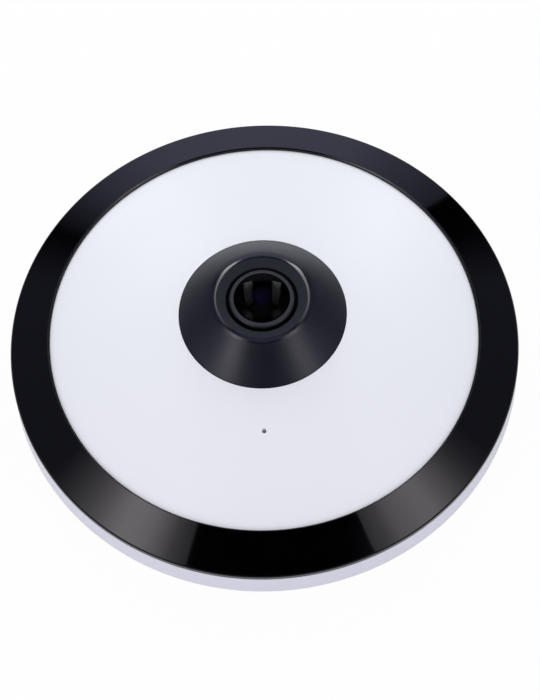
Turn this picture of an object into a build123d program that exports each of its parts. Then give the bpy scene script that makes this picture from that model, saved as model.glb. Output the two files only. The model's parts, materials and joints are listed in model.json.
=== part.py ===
from build123d import *
from math import cos, radians, sin, sqrt
import os

# A ceiling fisheye camera, in millimetres. The origin is at the centre of the face that bears on
# the ceiling, +Z runs out along the lens, and -Y is the side with the microphone hole.

# Outer form, from the ceiling up to the lens
body_radius = 75.8
body_taper = 0.7
shoulder_height = 10.5
rim_height = 18.9
bezel_step = 0.1
bezel_width = 12.0
bezel_lip = 1.85
bezel_rise = 4.55
edge_break = 0.35
cover_drop = 1.1
cover_rise = 9.55
cover_crown = 0.5
crown_steps = 3
shroud_radius = 24.1
shroud_rise = 9.1
collar_radius = 13.85
collar_round = 1.1
opening_radius = 10.3
opening_depth = 1.25
lens_ring_radius = 9.25
lens_stand = 0.85
glass_radius = 7.75
glass_rise = 1.75

# Walls
plate_wall = 1.5
floor_wall = 2.5
side_wall = 2.3
bezel_wall = 2.2
cover_wall = 2.0
shroud_wall = 2.0
shroud_roof_wall = 2.4
board_wall = 1.6

# Fits: turning and sliding pieces, pieces that drop into one another, screws in their holes
running_gap = 0.3
seat_gap = 0.15
thread_gap = 0.05
screw_slack = 0.25

# Screws, by shank radius
large_screw = 1.5
small_screw = 1.0
head_ratio = 1.8
head_height_ratio = 1.3

# Ceiling plate, with three dished fixing pads and a bayonet round its cable opening
plate_inset = 15.8
plate_rise = 3.5
plate_rim = 4.0
plate_lean = 2.0
pad_inset = 9.0
pad_radius = 4.9
fixing_hole_radius = 2.25
hub_opening_radius = 33.0
hub_slack = 0.6
hub_wall = 3.0
lug_count = 3
lug_reach = 3.8
lug_thickness = 1.9
lug_span = 24.0
notch_slack = 4.0
twist_angle = 30.0

# Housing inside
skirt_clearance = 1.0
skirt_gap = 0.8
skirt_lip = 3.2
chamber_radius = 15.0
chamber_depth = 5.0
inner_shoulder = 3.5
rib_count = 12
rib_width = 1.6
rib_height = 5.6
rib_crest = 1.15
rib_root = 0.6
boss_wall = 1.6

# Bezel skirt and its sealing ring
bezel_skirt_depth = 3.4
bezel_skirt_wall = 2.9
gasket_height = 1.6
gasket_depth = 1.1
bezel_ledge = 3.5
bezel_ledge_wall = 1.6

# Cover posts and screws
post_radius = 3.4
post_length = 4.0
post_count = 4

# Shroud seat, spigot and nut
shroud_seat_depth = 1.2
shroud_ledge = 3.6
shroud_ledge_wall = 1.65
spigot_wall = 1.8
nut_height = 3.0
nut_width = 4.6
nut_slots = 6
nut_slot_width = 3.0
nut_slot_depth = 1.5
seal_width = 1.5
seal_depth = 0.8
seal_land = 0.6
lens_seal_height = 2.0
lens_seal_width = 2.9
guard_depth = 4.1

# Microphone in its boot
mic_inset = 11.95
mic_hole_radius = 0.5
mic_radius = 3.0
mic_height = 2.5
boot_wall = 1.0
boot_height = 3.5

# Lens
lens_length = 17.95
thread_radius = 6.0
thread_length = 9.0
lens_cone = 1.5
retainer_lip = 1.0
retainer_skirt = 1.2
retainer_skirt_wall = 0.4
front_step_height = 2.1
front_step_radius = 8.3
front_hollow = 3.3
second_radius = 6.2
second_height = 2.5
second_bulge = 0.9
second_dish = 1.7
second_drop = 0.3
third_radius = 4.5
third_height = 2.6
stop_height = 1.4
stop_radius = 1.3
stop_land = 1.3
rear_height = 3.0
rear_shoulder = 0.7
rear_bulge = 0.6
spacer_wall = 1.0
lock_nut_radius = 8.0
lock_nut_height = 2.0
lock_nut_slot = 1.5

# Infra-red cut filter, its carriage, rotor and coil
filter_width = 6.4
filter_depth = 7.0
filter_thickness = 0.6
carriage_rim = 0.9
carriage_thickness = 1.2
rotor_arm = 7.0
rotor_swing = 60.0
rotor_place = 17.2
rotor_radius = 3.0
rotor_height = 2.2
rotor_bore = 0.8
rotor_fit = 0.05
arm_hub_radius = 2.1
arm_thickness = 1.0
arm_tip_radius = 1.0
drive_pin_radius = 0.6
ear_rim = 1.2
slide_gap = 0.2
track_wall = 1.2
track_floor = 0.8
lens_back_gap = 1.0
pole_gap = 0.4
pole_width = 2.0
pole_shoe = 3.0
pivot_collar_radius = 2.2
yoke_thickness = 1.6
yoke_length = 9.8
coil_length = 6.4
coil_size = 4.4
coil_round = 1.1
tongue_wall = 1.0

# Lens holder
holder_wall = 2.15
holder_height = 6.6
holder_flange = 1.7
holder_half = 8.6
foot_reach = 14.5
foot_radius = 1.8

# Sensor and its board
sensor_size = 8.0
sensor_height = 1.2
sensor_glass_size = 6.8
sensor_glass_height = 0.4
sensor_board_width = 36.0
sensor_board_back = 14.0
sensor_board_front = 29.0
post_inset = 2.8
sensor_post_radius = 2.6

# Main board and what is on it
board_standoff = 3.2
board_gap = 1.6
main_board_opening = 19.0
board_boss_inset = 5.0
board_boss_radius = 2.8
board_screw_angles = (30, 150, 210, 330)
processor_size = 14.0
processor_height = 1.4
processor_inset = 2.0
thermal_pad_height = 1.0
transformer_length = 15.0
transformer_width = 12.0
transformer_height = 9.0
transformer_gap = 2.0
transformer_round = 1.0
capacitor_radius = 3.2
capacitor_height = 8.0
capacitor_gap = 2.0
header_length = 18.0
header_width = 6.0
header_height = 5.5
header_inset = 5.0
link_length = 16.0
link_width = 4.6
link_inset = 0.9

# Memory card, reset button and the hatch over them
card_width = 11.0
card_length = 15.0
card_height = 1.0
card_overhang = 1.2
card_offset = (-2.6, 2.8)
card_gap = 0.35
socket_wall = 1.2
socket_skin = 0.35
tab_margin = 2.4
reset_offset = (6.1, -1.0)
reset_size = 3.6
reset_height = 1.6
button_radius = 0.9
button_length = 1.6
button_fit = 0.1
button_travel = 0.3
hatch_opening_length = 17.2
hatch_opening_width = 18.0
hatch_inset = 3.6
hatch_offset = -3.0
hatch_side = 2.6
hatch_end = 4.6
hatch_wall = 1.6
hatch_boss_height = 0.8
hatch_boss_radius = 2.4
hatch_seal_height = 0.5
hatch_seal_width = 0.9
hatch_screw_inset = 1.95
hatch_seal_land = 0.3
hatch_head = 0.9
corner_radius = 2.0

# Cable grommet and vent plug
cable_radius = 3.0
grommet_radius = 6.6
grommet_neck = 5.2
grommet_flange = 1.5
vent_inset = 14.8
vent_offset = 12.0
vent_radius = 4.0
vent_stem = 2.4
vent_cap = 1.2
vent_proud = 1.0

# Infra-red light ring
light_board_width = 7.95
light_board_wall = 1.2
light_board_gap = 0.3
light_board_drop = 7.2
light_post_inset = 4.05
light_post_radius = 2.4
light_post_angles = (0, 120, 240)
light_groups = 3
lights_in_group = 4
light_pitch = 9.0
light_size = 3.4
light_height = 1.5
light_dome_radius = 1.5
light_dome_crown = 0.7
light_dome_height = 1.2

# Heights that follow from the sizes above
deck_height = plate_rise + plate_wall
floor_bottom = deck_height + running_gap
floor_top = floor_bottom + floor_wall
chamber_roof = floor_bottom + chamber_depth
bezel_edge_height = rim_height + bezel_lip
bezel_crest = bezel_edge_height + bezel_rise
cover_edge_height = bezel_crest - cover_drop
ledge_height = cover_edge_height - cover_wall
shroud_base = cover_edge_height + cover_rise
shroud_seat = shroud_base - shroud_seat_depth
collar_height = shroud_base + shroud_rise
opening_height = collar_height - opening_depth
lens_top = opening_height + lens_stand
lens_rear = lens_top - lens_length
carriage_top = lens_rear - lens_back_gap
carriage_bottom = carriage_top - carriage_thickness
holder_bottom = carriage_top + slide_gap
track_top = carriage_bottom - slide_gap
track_bottom = track_top - track_floor
sensor_board_top = track_bottom - running_gap - sensor_glass_height - sensor_height
sensor_board_bottom = sensor_board_top - board_wall
main_board_bottom = floor_top + board_standoff
main_board_top = main_board_bottom + board_wall
post_bottom = ledge_height - post_length
light_board_bottom = ledge_height - light_board_drop
light_board_top = light_board_bottom + light_board_wall

# Radii that follow
rim_radius = body_radius - body_taper
bezel_radius = rim_radius - bezel_step
bezel_inner_radius = bezel_radius - bezel_width
plate_radius = body_radius - plate_inset
rim_inner = plate_radius - plate_rim
deck_radius = rim_inner - plate_lean
pad_circle = deck_radius - pad_inset
hub_radius = hub_opening_radius - hub_slack
lug_radius = hub_radius + lug_reach
recess_radius = plate_radius + skirt_gap
cover_radius = bezel_inner_radius - seat_gap
post_circle = bezel_inner_radius - bezel_ledge - post_radius - seat_gap
shroud_seat_radius = shroud_radius + seat_gap
ledge_inner = shroud_seat_radius - shroud_ledge
spigot_radius = ledge_inner - seat_gap
inner_radius = rim_radius - side_wall
bezel_skirt_radius = inner_radius - seat_gap
carriage_travel = 2 * rotor_arm * sin(radians(rotor_swing / 2))
mic_circle = shroud_radius + mic_inset
post_hole = large_screw + screw_slack
main_board_radius = post_circle - post_hole - boss_wall - board_gap
board_boss_circle = main_board_radius - board_boss_inset
light_board_outer = bezel_skirt_radius - bezel_skirt_wall - light_board_gap
light_board_inner = light_board_outer - light_board_width
light_post_circle = light_board_outer - light_post_inset

# Places that follow, in plan
hatch_length = hatch_opening_length + 2 * hatch_side
hatch_width = hatch_opening_width + 2 * hatch_end
hatch_place = (hatch_inset + hatch_length / 2 - recess_radius, hatch_offset)
card_place = hatch_place[0] + card_offset[0]
card_front = hatch_place[1] + card_offset[1]
reset_place = (hatch_place[0] + reset_offset[0], hatch_place[1] + reset_offset[1])
vent_place = (vent_offset, vent_inset - recess_radius)
processor_place = main_board_opening + processor_inset + processor_size / 2
transformer_place = sensor_board_front + transformer_gap + transformer_width / 2
header_place = -main_board_opening - header_inset - header_width / 2
link_place = main_board_opening + link_inset + link_width / 2

STAND = (Align.CENTER, Align.CENTER, Align.MIN)


def disc(radius, low, high, mode=Mode.ADD):
    # a round bar between two heights, at each location in force
    with Locations((0, 0, low)):
        Cylinder(radius, high - low, align=STAND, mode=mode)


def block(length, width, low, high, mode=Mode.ADD):
    # a square bar between two heights, at each location in force
    with Locations((0, 0, low)):
        Box(length, width, high - low, align=STAND, mode=mode)


def span(x_low, x_high, y_low, y_high, low, high, mode=Mode.ADD):
    # a block given by its limits
    with Locations(((x_low + x_high) / 2, (y_low + y_high) / 2, 0)):
        block(x_high - x_low, y_high - y_low, low, high, mode=mode)


def ring(outer, inner, low, high, mode=Mode.ADD):
    # a flat ring round the lens axis
    with BuildSketch(Plane.XY.offset(low)) as face:
        Circle(outer)
        Circle(inner, mode=Mode.SUBTRACT)
    extrude(face.sketch, amount=high - low, mode=mode)


def turned(points, mode=Mode.ADD):
    # a turned form from its half section, as points of radius and height
    with BuildSketch(Plane.XZ) as section:
        with BuildLine():
            Polyline(*points, close=True)
        make_face()
    revolve(section.sketch, axis=Axis.Z, mode=mode)


def ring_sector(inner, outer, middle, width):
    # a flat sector of a ring, drawn in the sketch in force
    with BuildLine() as outline:
        near = CenterArc((0, 0), inner, middle - width / 2, width)
        far = CenterArc((0, 0), outer, middle - width / 2, width)
        Line(near @ 0, far @ 0)
        Line(near @ 1, far @ 1)
    make_face(outline.edges())


def screw(shank, seat, tip):
    # a pan-head screw, its head on the far side of the seat from the tip
    head_height = shank * head_height_ratio
    if tip > seat:
        disc(shank, seat, tip)
        disc(shank * head_ratio, seat - head_height, seat)
    else:
        disc(shank, tip, seat)
        disc(shank * head_ratio, seat, seat + head_height)


def upright(angle):
    # the plane through the lens axis at an angle round it
    turn = radians(angle)
    outward = (cos(turn), sin(turn), 0)
    across = (sin(turn), -cos(turn), 0)
    return Plane(origin=(0, 0, 0), x_dir=outward, z_dir=across)


def cap(rim, rise, radius):
    # how far a spherical cap stands above its rim's plane, at a radius
    ball = (rim**2 + rise**2) / (2 * rise)
    return rise - ball + sqrt(ball**2 - radius**2)


def cover_height(radius):
    # the cover's outer face, a shallow cone with a slight crown
    share = (cover_radius - radius) / (cover_radius - shroud_seat_radius)
    crown = 4 * cover_crown * share * (1 - share)
    return cover_edge_height + share * (shroud_base - cover_edge_height) + crown


# Pressed ceiling plate
lean_rate = plate_lean / plate_rise
press_shift = plate_wall * (sqrt(1 + lean_rate**2) - lean_rate)
dish_wall = plate_wall * sqrt(1 + lean_rate**2)
dish_low_radius = pad_radius + dish_wall / 2
with BuildPart() as mount_plate:
    turned([
        (hub_opening_radius, plate_rise),
        (deck_radius, plate_rise),
        (rim_inner, 0),
        (plate_radius, 0),
        (plate_radius, plate_wall),
        (rim_inner + press_shift, plate_wall),
        (deck_radius + press_shift, deck_height),
        (hub_opening_radius, deck_height),
    ])
    with PolarLocations(pad_circle, lug_count, start_angle=90):
        with Locations((0, 0, 0)):
            Cone(dish_low_radius, dish_low_radius + dish_wall / 2 + plate_lean, deck_height, align=STAND)
        with Locations((0, 0, plate_wall)):
            Cone(pad_radius, pad_radius + plate_lean, plate_rise, align=STAND, mode=Mode.SUBTRACT)
        disc(fixing_hole_radius, 0, plate_wall, mode=Mode.SUBTRACT)
    with BuildSketch(Plane.XY.offset(plate_rise)):
        for lug in range(lug_count):
            notch_middle = lug * 360 / lug_count + twist_angle
            notch_span = lug_span + notch_slack
            ring_sector(hub_opening_radius - hub_wall, lug_radius + hub_slack, notch_middle, notch_span)
    extrude(amount=plate_wall, mode=Mode.SUBTRACT)
mount_plate.part.label = "mount_plate"

# Die-cast rear housing
hub_bottom = plate_rise - running_gap - lug_thickness
skirt_radius = recess_radius + skirt_lip
inner_floor_radius = inner_radius - inner_shoulder
head_radius = large_screw * head_ratio
cover_head_height = large_screw * head_height_ratio
cover_screw_seat = floor_bottom + cover_head_height + running_gap
cover_boss_radius = head_radius + screw_slack + boss_wall
boss_top = post_bottom - seat_gap
sensor_post_x = sensor_board_width / 2 - post_inset
sensor_posts = [
    (side * sensor_post_x, y)
    for side in (-1, 1)
    for y in (post_inset - sensor_board_back, sensor_board_front - post_inset)
]
board_bosses = [
    (board_boss_circle * cos(radians(a)), board_boss_circle * sin(radians(a))) for a in board_screw_angles
]
light_posts = [
    (light_post_circle * cos(radians(a)), light_post_circle * sin(radians(a))) for a in light_post_angles
]
hatch_top = floor_bottom + hatch_wall
hatch_screws = [
    (hatch_place[0], hatch_place[1] + side * (hatch_width / 2 - hatch_screw_inset)) for side in (-1, 1)
]
pedestal_height = board_standoff - processor_height - thermal_pad_height
with BuildPart() as rear_housing:
    turned([
        (0, chamber_roof),
        (chamber_radius, chamber_roof),
        (chamber_radius, floor_bottom),
        (hub_radius - hub_wall, floor_bottom),
        (hub_radius - hub_wall, hub_bottom),
        (hub_radius, hub_bottom),
        (hub_radius, floor_bottom),
        (recess_radius, floor_bottom),
        (recess_radius, skirt_clearance),
        (skirt_radius, skirt_clearance),
        (body_radius, shoulder_height),
        (rim_radius, rim_height),
        (inner_radius, rim_height),
        (inner_radius, floor_top + inner_shoulder),
        (inner_floor_radius, floor_top),
        (chamber_radius + side_wall, floor_top),
        (chamber_radius + side_wall, chamber_roof + floor_wall),
        (0, chamber_roof + floor_wall),
    ])
    with BuildSketch(Plane.XY.offset(hub_bottom)):
        for lug in range(lug_count):
            ring_sector(hub_radius - hub_wall / 2, lug_radius, lug * 360 / lug_count, lug_span)
    extrude(amount=lug_thickness)
    with BuildSketch(*[upright((n + 0.5) * 360 / rib_count) for n in range(rib_count)]):
        with BuildLine():
            Polyline(
                (inner_floor_radius - rib_height - inner_shoulder, floor_top - rib_root),
                (inner_floor_radius, floor_top - rib_root),
                (inner_radius + rib_root, floor_top + inner_shoulder),
                (inner_radius + rib_root, floor_top + rib_height),
                (inner_radius - rib_crest, floor_top + rib_height),
                close=True,
            )
        make_face()
    extrude(amount=rib_width / 2, both=True)
    with PolarLocations(post_circle, post_count, start_angle=45):
        disc(cover_boss_radius, floor_bottom, floor_top + boss_wall)
        disc(post_hole + boss_wall, floor_bottom, boss_top)
        disc(head_radius + screw_slack, floor_bottom, cover_screw_seat, mode=Mode.SUBTRACT)
        disc(post_hole, floor_bottom, boss_top, mode=Mode.SUBTRACT)
    with Locations(*board_bosses):
        disc(board_boss_radius, floor_top, main_board_bottom)
        disc(small_screw + thread_gap, floor_top, main_board_bottom, mode=Mode.SUBTRACT)
    with Locations(*sensor_posts):
        disc(sensor_post_radius, floor_top, sensor_board_bottom)
        disc(small_screw + thread_gap, main_board_top, sensor_board_bottom, mode=Mode.SUBTRACT)
    with Locations(*light_posts):
        disc(light_post_radius, floor_top, light_board_bottom)
        disc(small_screw + thread_gap, main_board_top, light_board_bottom, mode=Mode.SUBTRACT)
    with Locations((processor_place, 0)):
        block(processor_size, processor_size, floor_top, floor_top + pedestal_height)
    with Locations(hatch_place):
        block(
            hatch_length + seat_gap * 2,
            hatch_width + seat_gap * 2,
            floor_bottom,
            hatch_top,
            mode=Mode.SUBTRACT,
        )
        block(hatch_opening_length, hatch_opening_width, floor_bottom, floor_top, mode=Mode.SUBTRACT)
    with Locations(*hatch_screws):
        disc(hatch_boss_radius, hatch_top, floor_top + hatch_boss_height)
        disc(small_screw + thread_gap, hatch_top, floor_top + hatch_boss_height, mode=Mode.SUBTRACT)
    with Locations(vent_place):
        disc(vent_radius + seat_gap, floor_bottom, floor_bottom + vent_cap, mode=Mode.SUBTRACT)
        disc(vent_stem + seat_gap, floor_bottom, floor_top, mode=Mode.SUBTRACT)
    disc(grommet_neck + seat_gap, chamber_roof, chamber_roof + floor_wall, mode=Mode.SUBTRACT)
rear_housing.part.label = "rear_housing"

# Rubber sealing ring round the bezel's skirt
gasket_bottom = rim_height - (bezel_skirt_depth + gasket_height) / 2
gasket_top = gasket_bottom + gasket_height
with BuildPart() as housing_gasket:
    ring(inner_radius - thread_gap, bezel_skirt_radius - gasket_depth, gasket_bottom, gasket_top)
housing_gasket.part.label = "housing_gasket"

# Gloss bezel that passes infra-red light, with the ledge that carries the cover
bezel_rate = bezel_rise / (bezel_radius - bezel_inner_radius)
skirt_inner = bezel_skirt_radius - bezel_skirt_wall
web_radius = bezel_inner_radius + bezel_wall
with BuildPart() as front_bezel:
    with BuildSketch(Plane.XZ) as bezel_section:
        with BuildLine():
            Polyline(
                (rim_radius, rim_height),
                (bezel_radius, bezel_edge_height),
                (bezel_inner_radius, bezel_crest),
                (bezel_inner_radius, ledge_height),
                (bezel_inner_radius - bezel_ledge, ledge_height),
                (bezel_inner_radius - bezel_ledge, ledge_height - bezel_ledge_wall),
                (web_radius, ledge_height - bezel_ledge_wall),
                (web_radius, bezel_crest - bezel_wall * (1 + bezel_rate)),
                (skirt_inner, bezel_edge_height + (bezel_radius - skirt_inner) * bezel_rate - bezel_wall),
                (skirt_inner, rim_height - bezel_skirt_depth),
                (bezel_skirt_radius, rim_height - bezel_skirt_depth),
                (bezel_skirt_radius, rim_height),
                close=True,
            )
        make_face()
        for corner in ((bezel_radius, bezel_edge_height), (bezel_inner_radius, bezel_crest)):
            chamfer(bezel_section.vertices().sort_by_distance(corner)[0], edge_break)
    revolve(axis=Axis.Z)
    ring(
        bezel_skirt_radius,
        bezel_skirt_radius - gasket_depth - thread_gap,
        gasket_bottom - thread_gap,
        gasket_top + thread_gap,
        mode=Mode.SUBTRACT,
    )
front_bezel.part.label = "front_bezel"

# White front cover: a shallow crowned cone with its posts and the microphone's cup
cup_radius = mic_radius + boot_wall
seal_inner = ledge_inner + seal_land
boot_top = cover_height(mic_circle + cup_radius) - cover_wall + seat_gap
ledge_bottom = shroud_seat - shroud_ledge_wall
crown_step = (shroud_seat_radius - cover_radius) / crown_steps
crown_radii = [cover_radius + crown_step * step for step in range(crown_steps + 1)]
cover_face = [(radius, cover_height(radius)) for radius in crown_radii]
cover_back = [(radius, height - cover_wall) for radius, height in cover_face[1:-1]]
with BuildPart() as front_cover:
    turned([
        *cover_face,
        (shroud_seat_radius, shroud_seat),
        (ledge_inner, shroud_seat),
        (ledge_inner, ledge_bottom),
        (shroud_seat_radius + cover_wall, ledge_bottom),
        *reversed(cover_back),
        (cover_radius - bezel_ledge, ledge_height),
        (cover_radius, ledge_height),
    ])
    with PolarLocations(post_circle, post_count, start_angle=45):
        disc(post_radius, post_bottom, cover_height(post_circle))
    with Locations((0, -mic_circle)):
        disc(cup_radius + boot_wall, boot_top - boot_height, cover_height(mic_circle))
        disc(cup_radius + seat_gap, boot_top - boot_height, boot_top, mode=Mode.SUBTRACT)
        disc(mic_hole_radius, boot_top, shroud_base, mode=Mode.SUBTRACT)
    with PolarLocations(post_circle, post_count, start_angle=45):
        disc(large_screw + thread_gap, post_bottom, ledge_height, mode=Mode.SUBTRACT)
    turned([
        *cover_face,
        (shroud_seat_radius, shroud_base + cover_rise),
        (cover_radius, shroud_base + cover_rise),
    ], mode=Mode.SUBTRACT)
    ring(seal_inner + seal_width, seal_inner, shroud_seat - seal_depth, shroud_seat, mode=Mode.SUBTRACT)
front_cover.part.label = "front_cover"

# Screws that draw the cover and the bezel down on the housing
with BuildPart() as cover_screws:
    with PolarLocations(post_circle, post_count, start_angle=45):
        screw(large_screw, cover_screw_seat, ledge_height - boss_wall)
cover_screws.part.label = "cover_screws"

# Dark shroud round the lens, with its rolled collar and threaded spigot
guard_bottom = opening_height - guard_depth
collar_start = collar_radius + collar_round
spigot_bottom = ledge_bottom - nut_height
spigot_bore = spigot_radius - spigot_wall
shroud_rate = (shroud_rise - collar_round) / (shroud_radius - collar_start)
inner_top = collar_height - shroud_roof_wall
spigot_top = inner_top - (spigot_bore - collar_radius) * shroud_rate
with BuildPart() as lens_shroud:
    with BuildSketch(Plane.XZ):
        with BuildLine():
            collar = ThreePointArc(
                (collar_start, collar_height - collar_round),
                (collar_radius + collar_round / 2, collar_height - collar_round / 4),
                (collar_radius - collar_round / 2, collar_height),
            )
            Polyline(
                collar @ 1,
                (opening_radius, opening_height),
                (opening_radius, guard_bottom),
                (opening_radius + shroud_wall, guard_bottom),
                (opening_radius + shroud_wall, inner_top),
                (collar_radius, inner_top),
                (spigot_bore, spigot_top),
                (spigot_bore, spigot_bottom),
                (spigot_radius, spigot_bottom),
                (spigot_radius, shroud_seat),
                (shroud_radius, shroud_seat),
                (shroud_radius, shroud_base),
                collar @ 0,
            )
        make_face()
    revolve(axis=Axis.Z)
lens_shroud.part.label = "lens_shroud"

# Seal between the shroud and the cover, in the cover's groove
with BuildPart() as shroud_gasket:
    ring(
        seal_inner + seal_width - thread_gap,
        seal_inner + thread_gap,
        shroud_seat - seal_depth,
        shroud_seat,
    )
shroud_gasket.part.label = "shroud_gasket"

# Slotted ring nut that holds the shroud down on the cover
nut_radius = spigot_radius + nut_width
slot_top = spigot_bottom + nut_slot_depth
with BuildPart() as shroud_nut:
    ring(nut_radius, spigot_radius + thread_gap, spigot_bottom, ledge_bottom)
    with PolarLocations(nut_radius, nut_slots):
        block(nut_width, nut_slot_width, spigot_bottom, slot_top, mode=Mode.SUBTRACT)
shroud_nut.part.label = "shroud_nut"

# Rubber seal between the lens and the shroud
with BuildPart() as lens_seal:
    ring(
        lens_ring_radius + lens_seal_width,
        lens_ring_radius + thread_gap,
        guard_bottom - lens_seal_height,
        guard_bottom,
    )
lens_seal.part.label = "lens_seal"

# Microphone in its rubber boot, inside the cover's cup
with BuildPart() as microphone_boot:
    with Locations((0, -mic_circle)):
        disc(cup_radius, boot_top - boot_height, boot_top)
        disc(mic_radius, boot_top - boot_height, boot_top - boot_wall, mode=Mode.SUBTRACT)
        disc(mic_hole_radius, boot_top - boot_wall, boot_top, mode=Mode.SUBTRACT)
microphone_boot.part.label = "microphone_boot"

with BuildPart() as microphone:
    with Locations((0, -mic_circle)):
        disc(mic_radius, boot_top - boot_wall - mic_height, boot_top - boot_wall)
        disc(mic_hole_radius, boot_top - boot_wall * 2, boot_top - boot_wall, mode=Mode.SUBTRACT)
microphone.part.label = "microphone"

# Lens barrel, stepped inside for each element
step_top = lens_top - retainer_lip
front_seat = step_top - front_step_height
nose_bore = front_step_radius + thread_gap
skirt_bore = nose_bore + retainer_skirt_wall
second_bottom = front_seat - second_height
rear_seat = lens_rear + rear_shoulder
cone_bottom = lens_rear + thread_length
bore_radius = third_radius + thread_gap
with BuildPart() as lens_barrel:
    turned([
        (bore_radius - rear_shoulder, lens_rear),
        (thread_radius, lens_rear),
        (thread_radius, cone_bottom),
        (lens_ring_radius, cone_bottom + lens_cone),
        (lens_ring_radius, step_top),
        (skirt_bore, step_top),
        (skirt_bore, step_top - retainer_skirt),
        (nose_bore, step_top - retainer_skirt),
        (nose_bore, front_seat),
        (second_radius + thread_gap, front_seat),
        (second_radius + thread_gap, second_bottom),
        (bore_radius, second_bottom),
        (bore_radius, rear_seat),
        (bore_radius - rear_shoulder, rear_seat),
    ])
lens_barrel.part.label = "lens_barrel"

# Grey ring that holds the front glass, screwed into the barrel's nose
with BuildPart() as lens_retaining_ring:
    turned([
        (glass_radius + thread_gap, step_top),
        (glass_radius + thread_gap, lens_top),
        (lens_ring_radius - edge_break, lens_top),
        (lens_ring_radius, lens_top - edge_break),
        (lens_ring_radius, step_top),
        (skirt_bore - thread_gap, step_top),
        (skirt_bore - thread_gap, step_top - retainer_skirt),
        (nose_bore, step_top - retainer_skirt),
        (nose_bore, step_top),
    ])
lens_retaining_ring.part.label = "lens_retaining_ring"

# Shallow domed front glass, hollowed behind
dome_mid = (glass_radius / 2, lens_top + cap(glass_radius, glass_rise, glass_radius / 2))
hollow_mid = (second_radius / 2, front_seat + cap(second_radius, front_hollow, second_radius / 2))
with BuildPart() as front_element:
    with BuildSketch(Plane.XZ):
        with BuildLine():
            dome = ThreePointArc(
                (0, lens_top + glass_rise), dome_mid, (glass_radius, lens_top)
            )
            Polyline(
                dome @ 1,
                (glass_radius, step_top),
                (front_step_radius, step_top),
                (front_step_radius, front_seat),
                (second_radius, front_seat),
            )
            hollow = ThreePointArc(
                (second_radius, front_seat), hollow_mid, (0, front_seat + front_hollow)
            )
            Line(hollow @ 1, dome @ 0)
        make_face()
    revolve(axis=Axis.Z)
front_element.part.label = "front_element"

# Second meniscus under the front glass
second_rim = front_seat - second_drop
with BuildPart() as second_element:
    with BuildSketch(Plane.XZ):
        with BuildLine():
            bulge = ThreePointArc(
                (0, second_rim + second_bulge),
                (second_radius / 2, second_rim + cap(second_radius, second_bulge, second_radius / 2)),
                (second_radius, second_rim),
            )
            Polyline(bulge @ 1, (second_radius, second_bottom), (third_radius, second_bottom))
            dish = ThreePointArc(
                (third_radius, second_bottom),
                (third_radius / 2, second_bottom + cap(third_radius, second_dish, third_radius / 2)),
                (0, second_bottom + second_dish),
            )
            Line(dish @ 1, bulge @ 0)
        make_face()
    revolve(axis=Axis.Z)
second_element.part.label = "second_element"

# Rear glass, aperture stop, third glass and the spacer tube, stacked in the barrel
rear_top = rear_seat + rear_height
stop_top = rear_top + stop_height
third_top = stop_top + third_height
rear_rim = bore_radius - rear_shoulder - thread_gap
crown_rim = third_radius - spacer_wall - thread_gap
with BuildPart() as rear_element:
    with BuildSketch(Plane.XZ):
        with BuildLine():
            rear_face = ThreePointArc(
                (0, rear_seat - rear_bulge),
                (rear_rim / 2, rear_seat - cap(rear_rim, rear_bulge, rear_rim / 2)),
                (rear_rim, rear_seat),
            )
            Polyline(
                rear_face @ 1,
                (third_radius, rear_seat),
                (third_radius, rear_top),
                (0, rear_top),
                rear_face @ 0,
            )
        make_face()
    revolve(axis=Axis.Z)
rear_element.part.label = "rear_element"

with BuildPart() as aperture_stop:
    turned([
        (stop_radius, rear_top + stop_height / 2),
        (third_radius - stop_land, rear_top),
        (third_radius, rear_top),
        (third_radius, stop_top),
        (third_radius - stop_land, stop_top),
    ])
aperture_stop.part.label = "aperture_stop"

with BuildPart() as third_element:
    with BuildSketch(Plane.XZ):
        with BuildLine():
            crown = ThreePointArc(
                (0, third_top + rear_bulge),
                (crown_rim / 2, third_top + cap(crown_rim, rear_bulge, crown_rim / 2)),
                (crown_rim, third_top),
            )
            Polyline(
                crown @ 1,
                (third_radius, third_top),
                (third_radius, stop_top),
                (0, stop_top),
                crown @ 0,
            )
        make_face()
    revolve(axis=Axis.Z)
third_element.part.label = "third_element"

with BuildPart() as lens_spacer:
    ring(third_radius, third_radius - spacer_wall, third_top, second_bottom)
lens_spacer.part.label = "lens_spacer"

# Lens holder, with its feet on the sensor board and a lock nut on top
holder_top = holder_bottom + holder_height
tube_radius = thread_radius + holder_wall
feet = [(-foot_reach, 0), (foot_reach, 0)]
with BuildPart() as lens_holder:
    disc(tube_radius, holder_bottom, holder_top)
    block(2 * foot_reach, 2 * holder_half, holder_bottom, holder_bottom + holder_flange)
    with Locations(*feet):
        disc(foot_radius, sensor_board_top, holder_bottom + holder_flange)
    with BuildSketch(*[upright(angle) for angle in (0, 90, 180, 270)]):
        with BuildLine():
            Polyline(
                (thread_radius, holder_bottom),
                (holder_half, holder_bottom),
                (holder_half, holder_bottom + holder_flange),
                (tube_radius, holder_top - holder_flange),
                (thread_radius, holder_top - holder_flange),
                close=True,
            )
        make_face()
    extrude(amount=holder_flange / 2, both=True)
    disc(thread_radius + thread_gap, holder_bottom, holder_top, mode=Mode.SUBTRACT)
    with Locations(*feet):
        disc(small_screw + thread_gap, sensor_board_top, holder_bottom, mode=Mode.SUBTRACT)
lens_holder.part.label = "lens_holder"

with BuildPart() as lens_lock_nut:
    disc(lock_nut_radius, holder_top, holder_top + lock_nut_height)
    with PolarLocations(lock_nut_radius, nut_slots):
        block(
            2 * lock_nut_slot,
            lock_nut_slot,
            holder_top,
            holder_top + lock_nut_height,
            mode=Mode.SUBTRACT,
        )
    disc(thread_radius + thread_gap, holder_top, holder_top + lock_nut_height, mode=Mode.SUBTRACT)
lens_lock_nut.part.label = "lens_lock_nut"

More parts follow.
